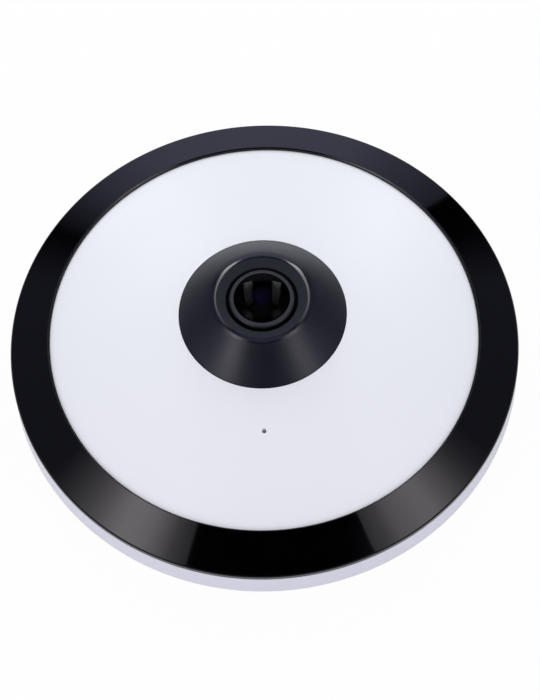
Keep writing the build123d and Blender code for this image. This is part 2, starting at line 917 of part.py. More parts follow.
with BuildPart() as holder_screws:
    with Locations(*feet):
        screw(small_screw, sensor_board_bottom, holder_bottom - running_gap)
holder_screws.part.label = "holder_screws"

# Carriage with its two filters side by side, the infra-red cut one under the lens by day
carriage_left = -carriage_travel - filter_width / 2 - carriage_rim
carriage_right = filter_width / 2 + carriage_rim
carriage_half = filter_depth / 2 + carriage_rim
pin_near = rotor_place - rotor_arm
pin_far = rotor_place - rotor_arm * cos(radians(rotor_swing / 2))
pin_rest = -carriage_travel / 2
slot_near = pin_near - drive_pin_radius - running_gap
slot_far = pin_far + drive_pin_radius + running_gap
ear_half = drive_pin_radius + slide_gap + ear_rim
filter_bottom = carriage_top - filter_thickness
filter_places = [(0, 0), (-carriage_travel, 0)]
with BuildPart() as filter_carriage:
    span(carriage_left, carriage_right, -carriage_half, carriage_half, carriage_bottom, carriage_top)
    span(
        pin_rest - ear_half,
        pin_rest + ear_half,
        carriage_half,
        slot_far + ear_rim,
        carriage_bottom,
        carriage_top,
    )
    with Locations(*filter_places):
        block(
            filter_width + 2 * thread_gap,
            filter_depth + 2 * thread_gap,
            filter_bottom,
            carriage_top,
            mode=Mode.SUBTRACT,
        )
        block(
            filter_width - carriage_rim,
            filter_depth - carriage_rim,
            carriage_bottom,
            filter_bottom,
            mode=Mode.SUBTRACT,
        )
    span(
        pin_rest - drive_pin_radius - slide_gap,
        pin_rest + drive_pin_radius + slide_gap,
        slot_near,
        slot_far,
        carriage_bottom,
        carriage_top,
        mode=Mode.SUBTRACT,
    )
filter_carriage.part.label = "filter_carriage"

with BuildPart() as ir_cut_filter:
    with Locations(filter_places[0]):
        block(filter_width, filter_depth, filter_bottom, carriage_top)
ir_cut_filter.part.label = "ir_cut_filter"

with BuildPart() as clear_filter:
    with Locations(filter_places[1]):
        block(filter_width, filter_depth, filter_bottom, carriage_top)
clear_filter.part.label = "clear_filter"

# Magnet rotor whose arm and pin throw the carriage over
arm_bottom = carriage_top + running_gap
arm_top = arm_bottom + arm_thickness
rotor_bottom = arm_bottom - rotor_height
with BuildPart() as filter_rotor:
    with Locations((0, rotor_place)):
        disc(rotor_radius, rotor_bottom, arm_bottom)
    with BuildSketch(Plane.XY.offset(arm_bottom)):
        with Locations((0, rotor_place)):
            Circle(arm_hub_radius)
        with Locations((pin_rest, pin_far)):
            Circle(arm_tip_radius)
        make_hull()
    extrude(amount=arm_thickness)
    with Locations((pin_rest, pin_far)):
        disc(drive_pin_radius, carriage_bottom + slide_gap, arm_bottom)
    with Locations((0, rotor_place)):
        disc(rotor_bore + rotor_fit, rotor_bottom, arm_top, mode=Mode.SUBTRACT)
filter_rotor.part.label = "filter_rotor"

# Frame of the filter switch: the carriage's track, and a tongue for the rotor's pivot and the yoke
track_half_x = -carriage_left + running_gap
track_half_y = carriage_half + slide_gap
tongue_half = rotor_radius + pole_gap + pole_width + track_wall
tongue_top = sensor_board_top + tongue_wall
yoke_back = rotor_place + yoke_length
yoke_bottom = rotor_bottom + (rotor_height - yoke_thickness) / 2
leg_middle = rotor_radius + pole_gap + pole_width / 2
channel_half = carriage_travel / 2 + ear_half + running_gap
with BuildPart() as filter_frame:
    block(
        2 * (track_half_x + track_wall),
        2 * (track_half_y + track_wall),
        sensor_board_top,
        holder_bottom,
    )
    block(2 * track_half_x, 2 * track_half_y, track_top, holder_bottom, mode=Mode.SUBTRACT)
    block(2 * track_half_x, 2 * track_half_y, sensor_board_top, track_bottom, mode=Mode.SUBTRACT)
    block(
        filter_width - carriage_rim,
        filter_depth - carriage_rim,
        track_bottom,
        track_top,
        mode=Mode.SUBTRACT,
    )
    span(
        -channel_half,
        channel_half,
        track_half_y,
        track_half_y + track_wall,
        track_top,
        holder_bottom,
        mode=Mode.SUBTRACT,
    )
    span(-tongue_half, tongue_half, track_half_y, yoke_back, sensor_board_top, tongue_top)
    with Locations((0, rotor_place)):
        disc(pivot_collar_radius, tongue_top, rotor_bottom - slide_gap)
        disc(rotor_bore, tongue_top, arm_top + slide_gap)
    for side in (-1, 1):
        with Locations((side * leg_middle, rotor_place + rotor_radius)):
            block(pole_width, pole_width, tongue_top, yoke_bottom)
filter_frame.part.label = "filter_frame"

# Steel yoke round the rotor, with the coil on its back leg
yoke_top = yoke_bottom + yoke_thickness
pole_outer = rotor_radius + pole_gap + pole_width
with BuildPart() as filter_yoke:
    for side in (-1, 1):
        with Locations((side * leg_middle, (rotor_place - rotor_radius + yoke_back) / 2)):
            block(pole_width, yoke_length + rotor_radius, yoke_bottom, yoke_top)
        with Locations((side * (pole_outer - pole_shoe / 2), rotor_place)):
            block(pole_shoe, 2 * rotor_radius, yoke_bottom, yoke_top)
    span(-pole_outer, pole_outer, yoke_back - pole_width, yoke_back, yoke_bottom, yoke_top)
    with Locations((0, rotor_place)):
        disc(rotor_radius + pole_gap, yoke_bottom, yoke_top, mode=Mode.SUBTRACT)
filter_yoke.part.label = "filter_yoke"

coil_middle = yoke_back - pole_width / 2
coil_height = (yoke_bottom + yoke_top) / 2
coil_half = coil_size / 2
with BuildPart() as filter_coil:
    with Locations((0, coil_middle)):
        block(coil_length, coil_size, coil_height - coil_half, coil_height + coil_half)
    fillet(filter_coil.edges().filter_by(Axis.X), coil_round)
    with Locations((0, coil_middle)):
        block(
            coil_length,
            pole_width + 2 * thread_gap,
            yoke_bottom - thread_gap,
            yoke_top + thread_gap,
            mode=Mode.SUBTRACT,
        )
filter_coil.part.label = "filter_coil"

# Image sensor and its board
with BuildPart() as image_sensor:
    block(sensor_size, sensor_size, sensor_board_top, sensor_board_top + sensor_height)
image_sensor.part.label = "image_sensor"

glass_bottom = sensor_board_top + sensor_height
with BuildPart() as sensor_glass:
    block(sensor_glass_size, sensor_glass_size, glass_bottom, glass_bottom + sensor_glass_height)
sensor_glass.part.label = "sensor_glass"

half_board = sensor_board_width / 2
with BuildPart() as sensor_board:
    span(
        -half_board,
        half_board,
        -sensor_board_back,
        sensor_board_front,
        sensor_board_bottom,
        sensor_board_top,
    )
    fillet(sensor_board.edges().filter_by(Axis.Z), corner_radius)
    with Locations(*sensor_posts, *feet):
        disc(small_screw + screw_slack, sensor_board_bottom, sensor_board_top, mode=Mode.SUBTRACT)
sensor_board.part.label = "sensor_board"

with BuildPart() as sensor_board_screws:
    with Locations(*sensor_posts):
        screw(small_screw, sensor_board_top, main_board_top + running_gap)
sensor_board_screws.part.label = "sensor_board_screws"

# Main board, with a tab over the hatch
tab_reach = hatch_opening_length / 2 + tab_margin - hatch_place[0]
tab_low = hatch_place[1] - hatch_opening_width / 2 - hatch_end
tab_high = card_front + card_length + card_gap + socket_wall + corner_radius
with BuildPart() as main_board:
    disc(main_board_radius, main_board_bottom, main_board_top)
    span(-tab_reach, 0, tab_low, tab_high, main_board_bottom, main_board_top)
    disc(main_board_opening, main_board_bottom, main_board_top, mode=Mode.SUBTRACT)
    with Locations(*sensor_posts):
        disc(sensor_post_radius + running_gap, main_board_bottom, main_board_top, mode=Mode.SUBTRACT)
    with Locations(*board_bosses):
        disc(small_screw + screw_slack, main_board_bottom, main_board_top, mode=Mode.SUBTRACT)
main_board.part.label = "main_board"

with BuildPart() as main_board_screws:
    with Locations(*board_bosses):
        screw(small_screw, main_board_top, floor_top + running_gap)
main_board_screws.part.label = "main_board_screws"

# Processor under the main board, on a soft pad that carries its heat to the housing
with BuildPart() as processor:
    with Locations((processor_place, 0)):
        block(processor_size, processor_size, main_board_bottom - processor_height, main_board_bottom)
processor.part.label = "processor"

pad_bottom = floor_top + pedestal_height
with BuildPart() as thermal_pad:
    with Locations((processor_place, 0)):
        block(processor_size, processor_size, pad_bottom, pad_bottom + thermal_pad_height)
thermal_pad.part.label = "thermal_pad"

# Power transformer, capacitors, cable header and the link to the sensor board
with BuildPart() as power_transformer:
    with Locations((0, transformer_place)):
        block(
            transformer_length,
            transformer_width,
            main_board_top,
            main_board_top + transformer_height,
        )
    fillet(power_transformer.edges().filter_by(Axis.Z), transformer_round)
power_transformer.part.label = "power_transformer"

capacitor_reach = transformer_length / 2 + capacitor_gap + capacitor_radius
capacitor_places = [
    (-capacitor_reach, transformer_place),
    (capacitor_reach, transformer_place),
    (header_length / 2 + capacitor_gap + capacitor_radius, header_place),
]
with BuildPart() as capacitors:
    with Locations(*capacitor_places):
        disc(capacitor_radius, main_board_top, main_board_top + capacitor_height)
capacitors.part.label = "capacitors"

with BuildPart() as cable_header:
    with Locations((0, header_place)):
        block(header_length, header_width, main_board_top, main_board_top + header_height)
        block(
            header_length - 2 * socket_wall,
            header_width - 2 * socket_wall,
            main_board_top + socket_wall,
            main_board_top + header_height,
            mode=Mode.SUBTRACT,
        )
cable_header.part.label = "cable_header"

with BuildPart() as board_link:
    with Locations((0, link_place)):
        block(link_length, link_width, main_board_top, sensor_board_bottom)
board_link.part.label = "board_link"

# Memory card and the socket that it slides in
card_top = main_board_bottom - card_gap
card_bottom = card_top - card_height
card_back = card_front + card_length
socket_half = card_width / 2 + card_gap + socket_wall
with BuildPart() as card_socket:
    with Locations((card_place, 0)):
        span(
            -socket_half,
            socket_half,
            card_front + card_overhang,
            card_back + card_gap + socket_wall,
            card_bottom - card_gap - socket_skin,
            main_board_bottom,
        )
        span(
            -card_width / 2 - card_gap,
            card_width / 2 + card_gap,
            card_front + card_overhang,
            card_back + card_gap,
            card_bottom - card_gap,
            main_board_bottom,
            mode=Mode.SUBTRACT,
        )
card_socket.part.label = "card_socket"

with BuildPart() as memory_card:
    with Locations((card_place, 0)):
        span(-card_width / 2, card_width / 2, card_front, card_back, card_bottom, card_top)
    chamfer(memory_card.edges().filter_by(Axis.Z).group_by(Axis.Y)[-1], card_height)
memory_card.part.label = "memory_card"

# Reset switch, pressed through the open hatch
switch_bottom = main_board_bottom - reset_height
button_top = main_board_bottom - socket_skin - button_travel - button_fit
with BuildPart() as reset_switch:
    with Locations(reset_place):
        block(reset_size, reset_size, switch_bottom, main_board_bottom)
        disc(
            button_radius + button_fit,
            switch_bottom,
            main_board_bottom - socket_skin,
            mode=Mode.SUBTRACT,
        )
reset_switch.part.label = "reset_switch"

with BuildPart() as reset_button:
    with Locations(reset_place):
        disc(button_radius, button_top - button_length, button_top)
reset_button.part.label = "reset_button"

# Hatch over the card and the reset button, with its seal and countersunk screws
seal_length = hatch_opening_length + 2 * hatch_seal_land
seal_breadth = hatch_opening_width + 2 * hatch_seal_land
with BuildPart() as access_hatch:
    with Locations(hatch_place):
        block(hatch_length, hatch_width, floor_bottom, hatch_top)
    fillet(access_hatch.edges().filter_by(Axis.Z), corner_radius)
    with Locations(hatch_place):
        block(
            seal_length + 2 * hatch_seal_width,
            seal_breadth + 2 * hatch_seal_width,
            hatch_top - hatch_seal_height,
            hatch_top,
            mode=Mode.SUBTRACT,
        )
        block(seal_length, seal_breadth, hatch_top - hatch_seal_height, hatch_top)
    with Locations(*hatch_screws):
        disc(small_screw + screw_slack, floor_bottom, hatch_top, mode=Mode.SUBTRACT)
        with Locations((0, 0, floor_bottom)):
            Cone(
                small_screw * head_ratio + thread_gap,
                small_screw + thread_gap,
                hatch_head,
                align=STAND,
                mode=Mode.SUBTRACT,
            )
access_hatch.part.label = "access_hatch"

with BuildPart() as hatch_gasket:
    with Locations(hatch_place):
        block(
            seal_length + 2 * hatch_seal_width - 2 * thread_gap,
            seal_breadth + 2 * hatch_seal_width - 2 * thread_gap,
            hatch_top - hatch_seal_height,
            hatch_top,
        )
        block(
            seal_length + 2 * thread_gap,
            seal_breadth + 2 * thread_gap,
            hatch_top - hatch_seal_height,
            hatch_top,
            mode=Mode.SUBTRACT,
        )
hatch_gasket.part.label = "hatch_gasket"

with BuildPart() as hatch_screw_pair:
    with Locations(*hatch_screws):
        disc(small_screw, floor_bottom, floor_top + hatch_boss_height)
        with Locations((0, 0, floor_bottom)):
            Cone(small_screw * head_ratio, small_screw, hatch_head, align=STAND)
hatch_screw_pair.part.label = "hatch_screws"

# Rubber grommet for the cable, and the breather plug
grommet_low = chamber_roof - grommet_flange
grommet_high = chamber_roof + floor_wall + grommet_flange
with BuildPart() as cable_grommet:
    disc(grommet_neck, grommet_low, grommet_high)
    disc(grommet_radius, grommet_low, chamber_roof)
    disc(grommet_radius, chamber_roof + floor_wall, grommet_high)
    disc(cable_radius, grommet_low, grommet_high, mode=Mode.SUBTRACT)
cable_grommet.part.label = "cable_grommet"

with BuildPart() as vent_plug:
    with Locations(vent_place):
        disc(vent_radius, floor_bottom, floor_bottom + vent_cap)
        disc(vent_stem, floor_bottom, floor_top + vent_proud)
vent_plug.part.label = "vent_plug"

# Infra-red light ring under the bezel
with BuildPart() as light_board:
    ring(light_board_outer, light_board_inner, light_board_bottom, light_board_top)
    with Locations(*light_posts):
        disc(small_screw + screw_slack, light_board_bottom, light_board_top, mode=Mode.SUBTRACT)
light_board.part.label = "light_board"

light_step = light_pitch / radians(1) / light_post_circle
with BuildPart() as infrared_lights:
    for group in range(light_groups):
        for n in range(lights_in_group):
            angle = (group + 0.5) * 360 / light_groups + (n - (lights_in_group - 1) / 2) * light_step
            with PolarLocations(light_post_circle, 1, start_angle=angle):
                block(light_size, light_size, light_board_top, light_board_top + light_height)
                with Locations((0, 0, light_board_top + light_height)):
                    Cone(light_dome_radius, light_dome_crown, light_dome_height, align=STAND)
infrared_lights.part.label = "infrared_lights"

with BuildPart() as light_board_screws:
    with Locations(*light_posts):
        screw(small_screw, light_board_top, main_board_top + running_gap)
light_board_screws.part.label = "light_board_screws"

os.makedirs("parts", exist_ok=True)
pieces = [
    mount_plate,
    rear_housing,
    housing_gasket,
    front_bezel,
    front_cover,
    cover_screws,
    lens_shroud,
    shroud_gasket,
    shroud_nut,
    lens_seal,
    microphone_boot,
    microphone,
    lens_barrel,
    lens_retaining_ring,
    front_element,
    second_element,
    rear_element,
    aperture_stop,
    third_element,
    lens_spacer,
    lens_holder,
    lens_lock_nut,
    holder_screws,
    filter_carriage,
    ir_cut_filter,
    clear_filter,
    filter_rotor,
    filter_frame,
    filter_yoke,
    filter_coil,
    image_sensor,
    sensor_glass,
    sensor_board,
    sensor_board_screws,
    main_board,
    main_board_screws,
    processor,
    thermal_pad,
    power_transformer,
    capacitors,
    cable_header,
    board_link,
    card_socket,
    memory_card,
    reset_switch,
    reset_button,
    access_hatch,
    hatch_gasket,
    hatch_screw_pair,
    cable_grommet,
    vent_plug,
    light_board,
    infrared_lights,
    light_board_screws,
]
for piece in pieces:
    export_step(piece.part, "parts/" + piece.part.label + ".step")
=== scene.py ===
import json
import math

import bmesh
import bpy
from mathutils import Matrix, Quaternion, Vector


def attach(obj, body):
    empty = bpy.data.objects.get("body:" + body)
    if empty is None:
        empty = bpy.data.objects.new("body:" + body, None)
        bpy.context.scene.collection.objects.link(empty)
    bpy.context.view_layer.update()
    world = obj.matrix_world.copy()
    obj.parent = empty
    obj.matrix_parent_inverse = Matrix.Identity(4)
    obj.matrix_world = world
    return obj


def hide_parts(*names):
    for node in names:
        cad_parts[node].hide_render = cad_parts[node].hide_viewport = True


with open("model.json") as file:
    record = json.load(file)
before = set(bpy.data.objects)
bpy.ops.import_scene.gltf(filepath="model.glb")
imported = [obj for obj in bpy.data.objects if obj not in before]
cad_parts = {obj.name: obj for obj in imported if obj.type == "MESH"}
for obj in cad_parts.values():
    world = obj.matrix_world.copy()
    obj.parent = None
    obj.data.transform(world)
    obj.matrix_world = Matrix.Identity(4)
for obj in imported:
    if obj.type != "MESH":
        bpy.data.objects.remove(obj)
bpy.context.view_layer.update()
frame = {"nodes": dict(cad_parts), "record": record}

# A ceiling fisheye camera lying face up on a pale studio floor. Sizes are in millimetres from here on
# and turn to metres where a mesh is made. +Z runs out along the lens, -Y is the microphone's side.
millimetre = 0.001
nodes = frame["nodes"]
scene = bpy.context.scene
print("frame loaded,", len(nodes), "CAD nodes")


def toLinear(hexColour):
    # sRGB hex to the linear values that the shaders take
    parts = [int(hexColour[i:i + 2], 16) / 255 for i in (1, 3, 5)]
    return [c / 12.92 if c <= 0.04045 else ((c + 0.055) / 1.055) ** 2.4 for c in parts] + [1.0]


def addNode(tree, kind, values=None, links=None, stops=()):
    # one node with its settings, its socket values, what feeds it and the grey stops of a ramp
    node = tree.nodes.new(kind)
    for name, value in (values or {}).items():
        if isinstance(name, int) or name in node.inputs:
            node.inputs[name].default_value = value
        else:
            setattr(node, name, value)
    for name, source in (links or {}).items():
        tree.links.new(source, node.inputs[name])
    for place, level in stops[1:-1]:
        node.color_ramp.elements.new(place)
    for i, (place, level) in enumerate(stops):
        node.color_ramp.elements[i].position = place
        node.color_ramp.elements[i].color = (level, level, level, 1)
    return node


# Camera, set where the photograph's was
view = {
    "place": (7.795, -199.69, 403.26),
    "target": (1.762, -5.58, 20.75),
    "roll": -2.835,
    "focalLength": 75.02,
    "sensorWidth": 36.0,
}
cameraData = bpy.data.cameras.new("studioCamera")
cameraData.sensor_width = view["sensorWidth"]
cameraData.lens = view["focalLength"]
cameraData.clip_start = 0.01
cameraData.clip_end = 50.0
camera = bpy.data.objects.new("studioCamera", cameraData)
scene.collection.objects.link(camera)
camera.location = Vector(view["place"]) * millimetre
lookAlong = Vector(view["target"]) - Vector(view["place"])
camera.rotation_mode = "QUATERNION"
camera.rotation_quaternion = (lookAlong.to_track_quat("-Z", "Y")
                              @ Quaternion((0, 0, 1), math.radians(view["roll"])))
scene.camera = camera
scene.view_settings.view_transform = "Standard"
print("camera placed")

# Studio lamps in metres and degrees, azimuth from the microphone's side towards +X. Two tall softboxes
# in front and two long ones hung behind light the object. "across" gives the brightness from the edge
# nearer the front to the far one, "up" from the lower edge to the upper.
lampDistance = 1.2
evenFade = [(0.0, 1.0), (1.0, 1.0)]
rightFade = [(0.0, 0.22), (0.04, 0.27), (0.12, 0.39), (0.21, 0.71), (0.3, 0.86), (0.38, 1.0), (0.47, 1.0),
             (0.54, 0.75), (0.63, 0.51), (0.71, 0.28), (0.79, 0.14), (0.88, 0.06), (1.0, 0.0)]
leftFade = [(0.0, 0.14), (0.04, 0.17), (0.12, 0.28), (0.2, 0.56), (0.28, 0.83), (0.37, 0.98), (0.45, 1.0),
            (0.53, 0.78), (0.6, 0.54), (0.68, 0.35), (0.76, 0.22), (0.84, 0.12), (0.92, 0.05), (1.0, 0.0)]
tallFade = [(0.0, 0.4), (0.1, 0.75), (0.2, 1.0), (0.35, 0.9), (0.55, 0.85), (0.68, 1.0), (0.82, 1.0),
            (1.0, 0.8)]
rearFade = [(0.0, 1.0), (0.13, 1.0), (0.24, 0.58), (0.4, 0.42), (0.6, 0.34), (0.8, 0.2), (1.0, 0.08)]
lamps = {
    "frontRightSoftbox": {"azimuth": 60.1, "elevation": 41, "lean": -24, "width": 0.69, "height": 1.5,
                          "radiance": 2.5, "colour": "#FFF8FF", "across": rightFade, "up": tallFade},
    "frontLeftSoftbox": {"azimuth": -54.3, "elevation": 41, "lean": 24, "width": 0.73, "height": 1.5,
                         "radiance": 3.2, "colour": "#FFF8FF", "across": leftFade, "up": tallFade},
    "rearRightSoftbox": {"azimuth": 147, "elevation": 48, "lean": 29, "width": 0.26, "height": 1.12,
                         "radiance": 8.2, "colour": "#FCFDFF", "across": evenFade, "up": rearFade},
    "rearLeftSoftbox": {"azimuth": -147, "elevation": 48, "lean": -29, "width": 0.26, "height": 1.12,
                        "radiance": 8.2, "colour": "#FCFDFF", "across": evenFade, "up": rearFade},
}


def directionOf(azimuth, elevation):
    a, e = math.radians(azimuth), math.radians(elevation)
    return Vector((math.sin(a) * math.cos(e), -math.cos(a) * math.cos(e), math.sin(e)))


def hangLamp(name, setting):
    # an area lamp aimed at the object, with its brightness drawn across and up its face
    lampData = bpy.data.lights.new(name, "AREA")
    lampData.shape = "RECTANGLE"
    lampData.size = setting["width"]
    lampData.size_y = setting["height"]
    lampData.energy = setting["radiance"] * math.pi * setting["width"] * setting["height"]
    lampData.color = toLinear(setting["colour"])[:3]
    lampData.use_nodes = True
    tree = lampData.node_tree
    place = addNode(tree, "ShaderNodeNewGeometry")
    parts = addNode(tree, "ShaderNodeSeparateXYZ", None, {0: place.outputs["Parametric"]})
    across = setting["across"]
    if setting["azimuth"] < 0:
        across = [(1 - spot, level) for spot, level in reversed(across)]
    acrossFade = addNode(tree, "ShaderNodeValToRGB", None, {0: parts.outputs[0]}, across)
    upFade = addNode(tree, "ShaderNodeValToRGB", None, {0: parts.outputs[1]}, setting["up"])
    bright = addNode(tree, "ShaderNodeMath", {"operation": "MULTIPLY"},
                     {0: acrossFade.outputs[0], 1: upFade.outputs[0]})
    tree.links.new(bright.outputs[0], tree.nodes["Emission"].inputs["Strength"])
    lamp = bpy.data.objects.new(name, lampData)
    scene.collection.objects.link(lamp)
    towards = directionOf(setting["azimuth"], setting["elevation"])
    lamp.location = towards * lampDistance
    lamp.rotation_mode = "QUATERNION"
    lamp.rotation_quaternion = ((-towards).to_track_quat("-Z", "Y")
                                @ Quaternion((0, 0, 1), math.radians(setting["lean"])))


for name, setting in lamps.items():
    hangLamp(name, setting)

# The room round the table. The camera and glass find plain white. Gloss finds a white backdrop low down
# behind the object, dim bluish walls beside it, a glow low down at the stands of the front lamps, the
# dark of the camera's side between them, a dark band over the walls and a dim glow right overhead. All
# else gets a fill that fades from the horizon up.
room = {
    "colour": "#D6DAFF", "backdrop": 0.87, "fillColour": "#F8FAFF",
    # how much of the backdrop is left so many degrees from straight behind, from the left to the right
    "backdropSpan": 40.0,
    "backdropFade": [(-36.5, 0.0), (-32.0, 0.25), (-25.0, 0.65), (-18.0, 0.92), (-13.0, 1.0), (12.0, 1.0),
                     (20.0, 0.65), (28.6, 0.35), (29.4, 0.0)],
    # each smooth change, along the degrees from straight behind or the height in degrees over the table,
    # as its start, its end and the level before and after
    "changes": {
        "backdropTop": ("height", 28.0, 29.0, 1.0, 0.0),
        "wallsStart": ("fromBack", 34.0, 49.0, 0.0, 1.0),
        "wallsEnd": ("fromBack", 132.0, 152.0, 1.0, 0.0),
        "lowFront": ("height", 10.0, 24.0, 1.0, 0.0),
        "wallsTop": ("height", 60.0, 66.0, 0.20, 0.0),
        "standsStart": ("fromBack", 85.0, 105.0, 0.0, 1.0),
        "standsEnd": ("fromBack", 138.0, 165.0, 1.0, 0.0),
        "standsTop": ("height", 26.0, 38.0, 0.32, 0.0),
        "zenith": ("height", 70.0, 77.0, 0.0, 0.45),
        "fill": ("height", 8.0, 50.0, 0.62, 0.34),
    },
    # how they are put together, each from two that come before
    "sums": {
        "onBackdrop": ("MULTIPLY", "alongBackdrop", "backdropTop"),
        "inFront": ("MAXIMUM", "wallsEnd", "lowFront"),
        "onWalls": ("MULTIPLY", "wallsStart", "inFront"),
        "walls": ("MULTIPLY", "onWalls", "wallsTop"),
        "onStands": ("MULTIPLY", "standsStart", "standsEnd"),
        "stands": ("MULTIPLY", "onStands", "standsTop"),
        "glows": ("ADD", "zenith", "stands"),
        "dim": ("ADD", "walls", "glows"),
    },
}
world = scene.world or bpy.data.worlds.new("studioRoom")
scene.world = world
world.use_nodes = True
world.cycles.sampling_method = "NONE"
tree = world.node_tree
tree.nodes.clear()
place = addNode(tree, "ShaderNodeTexCoord")
parts = addNode(tree, "ShaderNodeSeparateXYZ", None, {0: place.outputs["Generated"]})
turn = addNode(tree, "ShaderNodeMath", {"operation": "ARCTAN2"},
               {0: parts.outputs[0], 1: parts.outputs[1]})
bearing = addNode(tree, "ShaderNodeMath", {"operation": "DEGREES"}, {0: turn.outputs[0]})
fromBack = addNode(tree, "ShaderNodeMath", {"operation": "ABSOLUTE"}, {0: bearing.outputs[0]})
rise = addNode(tree, "ShaderNodeMath", {"operation": "ARCSINE"}, {0: parts.outputs[2]})
height = addNode(tree, "ShaderNodeMath", {"operation": "DEGREES"}, {0: rise.outputs[0]})
angles = {"fromBack": fromBack.outputs[0], "height": height.outputs[0]}
span = room["backdropSpan"]
alongBack = addNode(tree, "ShaderNodeMapRange", {"From Min": -span, "From Max": span},
                    {"Value": bearing.outputs[0]})
alongBackdrop = addNode(tree, "ShaderNodeValToRGB", None, {0: alongBack.outputs[0]},
                        [(0.5 + degrees / span / 2, share) for degrees, share in room["backdropFade"]])
levels = {"alongBackdrop": alongBackdrop.outputs[0]}
for name, (along, start, end, before, after) in room["changes"].items():
    change = addNode(tree, "ShaderNodeMapRange",
                     {"interpolation_type": "SMOOTHSTEP", "From Min": start, "From Max": end,
                      "To Min": before, "To Max": after}, {"Value": angles[along]})
    levels[name] = change.outputs[0]
for name, (operation, first, second) in room["sums"].items():
    total = addNode(tree, "ShaderNodeMath", {"operation": operation},
                    {0: levels[first], 1: levels[second]})
    levels[name] = total.outputs[0]
level = addNode(tree, "ShaderNodeMix", {"data_type": "FLOAT", 3: room["backdrop"]},
                {0: levels["onBackdrop"], 2: levels["dim"]})
roomLight = addNode(tree, "ShaderNodeBackground", {"Color": toLinear(room["colour"])},
                    {"Strength": level.outputs[0]})
fillLight = addNode(tree, "ShaderNodeBackground", {"Color": toLinear(room["fillColour"])},
                    {"Strength": levels["fill"]})
plainWhite = addNode(tree, "ShaderNodeBackground", {"Color": toLinear("#FFFFFF"), "Strength": 1.0})
path = addNode(tree, "ShaderNodeLightPath")
gloss = addNode(tree, "ShaderNodeMixShader", None,
                {0: path.outputs["Is Glossy Ray"], 1: fillLight.outputs[0], 2: roomLight.outputs[0]})
seen = addNode(tree, "ShaderNodeMath", {"operation": "MAXIMUM"},
               {0: path.outputs["Is Camera Ray"], 1: path.outputs["Is Transmission Ray"]})
choice = addNode(tree, "ShaderNodeMixShader", None,
                 {0: seen.outputs[0], 1: gloss.outputs[0], 2: plainWhite.outputs[0]})
addNode(tree, "ShaderNodeOutputWorld", None, {0: choice.outputs[0]})

# White paper floor: it takes the object's shadow close by and reads as white to the camera and to glass.
# Gloss finds it near-white close by and a dim grey further off. Both fades are in metres from the
# middle. It is clear from below, and open under the ceiling plate.
paperFloor = {"reach": 3000.0, "opening": 57.0, "steps": 96, "colour": "#F0F0F2",
              "white": 0.96, "fadeFrom": 0.15, "fadeTo": 0.9,
              "glossNear": 0.8, "glossFar": 0.2, "glossFrom": 0.10, "glossTo": 0.25}
floorMesh = bpy.data.meshes.new("paperFloor")
count = paperFloor["steps"]
turns = [2 * math.pi * i / count for i in range(count)]
rings = [(radius * millimetre * math.cos(t), radius * millimetre * math.sin(t), 0)
         for radius in (paperFloor["opening"], paperFloor["reach"]) for t in turns]
floorMesh.from_pydata(rings, [], [(i, count + i, count + (i + 1) % count, (i + 1) % count)
                                  for i in range(count)])
floor = bpy.data.objects.new("paperFloor", floorMesh)
scene.collection.objects.link(floor)
whitePaper = bpy.data.materials.new("whitePaper")
whitePaper.use_nodes = True
tree = whitePaper.node_tree
tree.nodes.clear()
paper = addNode(tree, "ShaderNodeBsdfDiffuse", {"Color": toLinear(paperFloor["colour"])})
path = addNode(tree, "ShaderNodeLightPath")
place = addNode(tree, "ShaderNodeTexCoord")
away = addNode(tree, "ShaderNodeVectorMath", {"operation": "LENGTH"}, {0: place.outputs["Object"]})
toGloss = addNode(tree, "ShaderNodeMapRange",
                  {"interpolation_type": "SMOOTHSTEP", "From Min": paperFloor["glossFrom"],
                   "From Max": paperFloor["glossTo"], "To Min": paperFloor["glossNear"],
                   "To Max": paperFloor["glossFar"]},
                  {"Value": away.outputs["Value"]})
glowLevel = addNode(tree, "ShaderNodeMix", {"data_type": "FLOAT", 2: 1.0},
                    {0: path.outputs["Is Glossy Ray"], 3: toGloss.outputs[0]})
glow = addNode(tree, "ShaderNodeEmission", {"Color": toLinear("#FFFFFF")},
               {"Strength": glowLevel.outputs[0]})
eyes = addNode(tree, "ShaderNodeMath", {"operation": "MAXIMUM"},
               {0: path.outputs["Is Camera Ray"], 1: path.outputs["Is Glossy Ray"]})
anyEye = addNode(tree, "ShaderNodeMath", {"operation": "MAXIMUM"},
                 {0: eyes.outputs[0], 1: path.outputs["Is Transmission Ray"]})
whiter = addNode(tree, "ShaderNodeMapRange",
                 {"interpolation_type": "SMOOTHSTEP", "From Min": paperFloor["fadeFrom"],
                  "From Max": paperFloor["fadeTo"], "To Min": paperFloor["white"], "To Max": 1.0},
                 {"Value": away.outputs["Value"]})
share = addNode(tree, "ShaderNodeMath", {"operation": "MULTIPLY"},
                {0: anyEye.outputs[0], 1: whiter.outputs[0]})
both = addNode(tree, "ShaderNodeMixShader", None,
               {0: share.outputs[0], 1: paper.outputs[0], 2: glow.outputs[0]})
underside = addNode(tree, "ShaderNodeNewGeometry")
clear = addNode(tree, "ShaderNodeBsdfTransparent")
oneSided = addNode(tree, "ShaderNodeMixShader", None,
                   {0: underside.outputs["Backfacing"], 1: both.outputs[0], 2: clear.outputs[0]})
addNode(tree, "ShaderNodeOutputMaterial", None, {0: oneSided.outputs[0]})
floorMesh.materials.append(whitePaper)
print("studio lit")


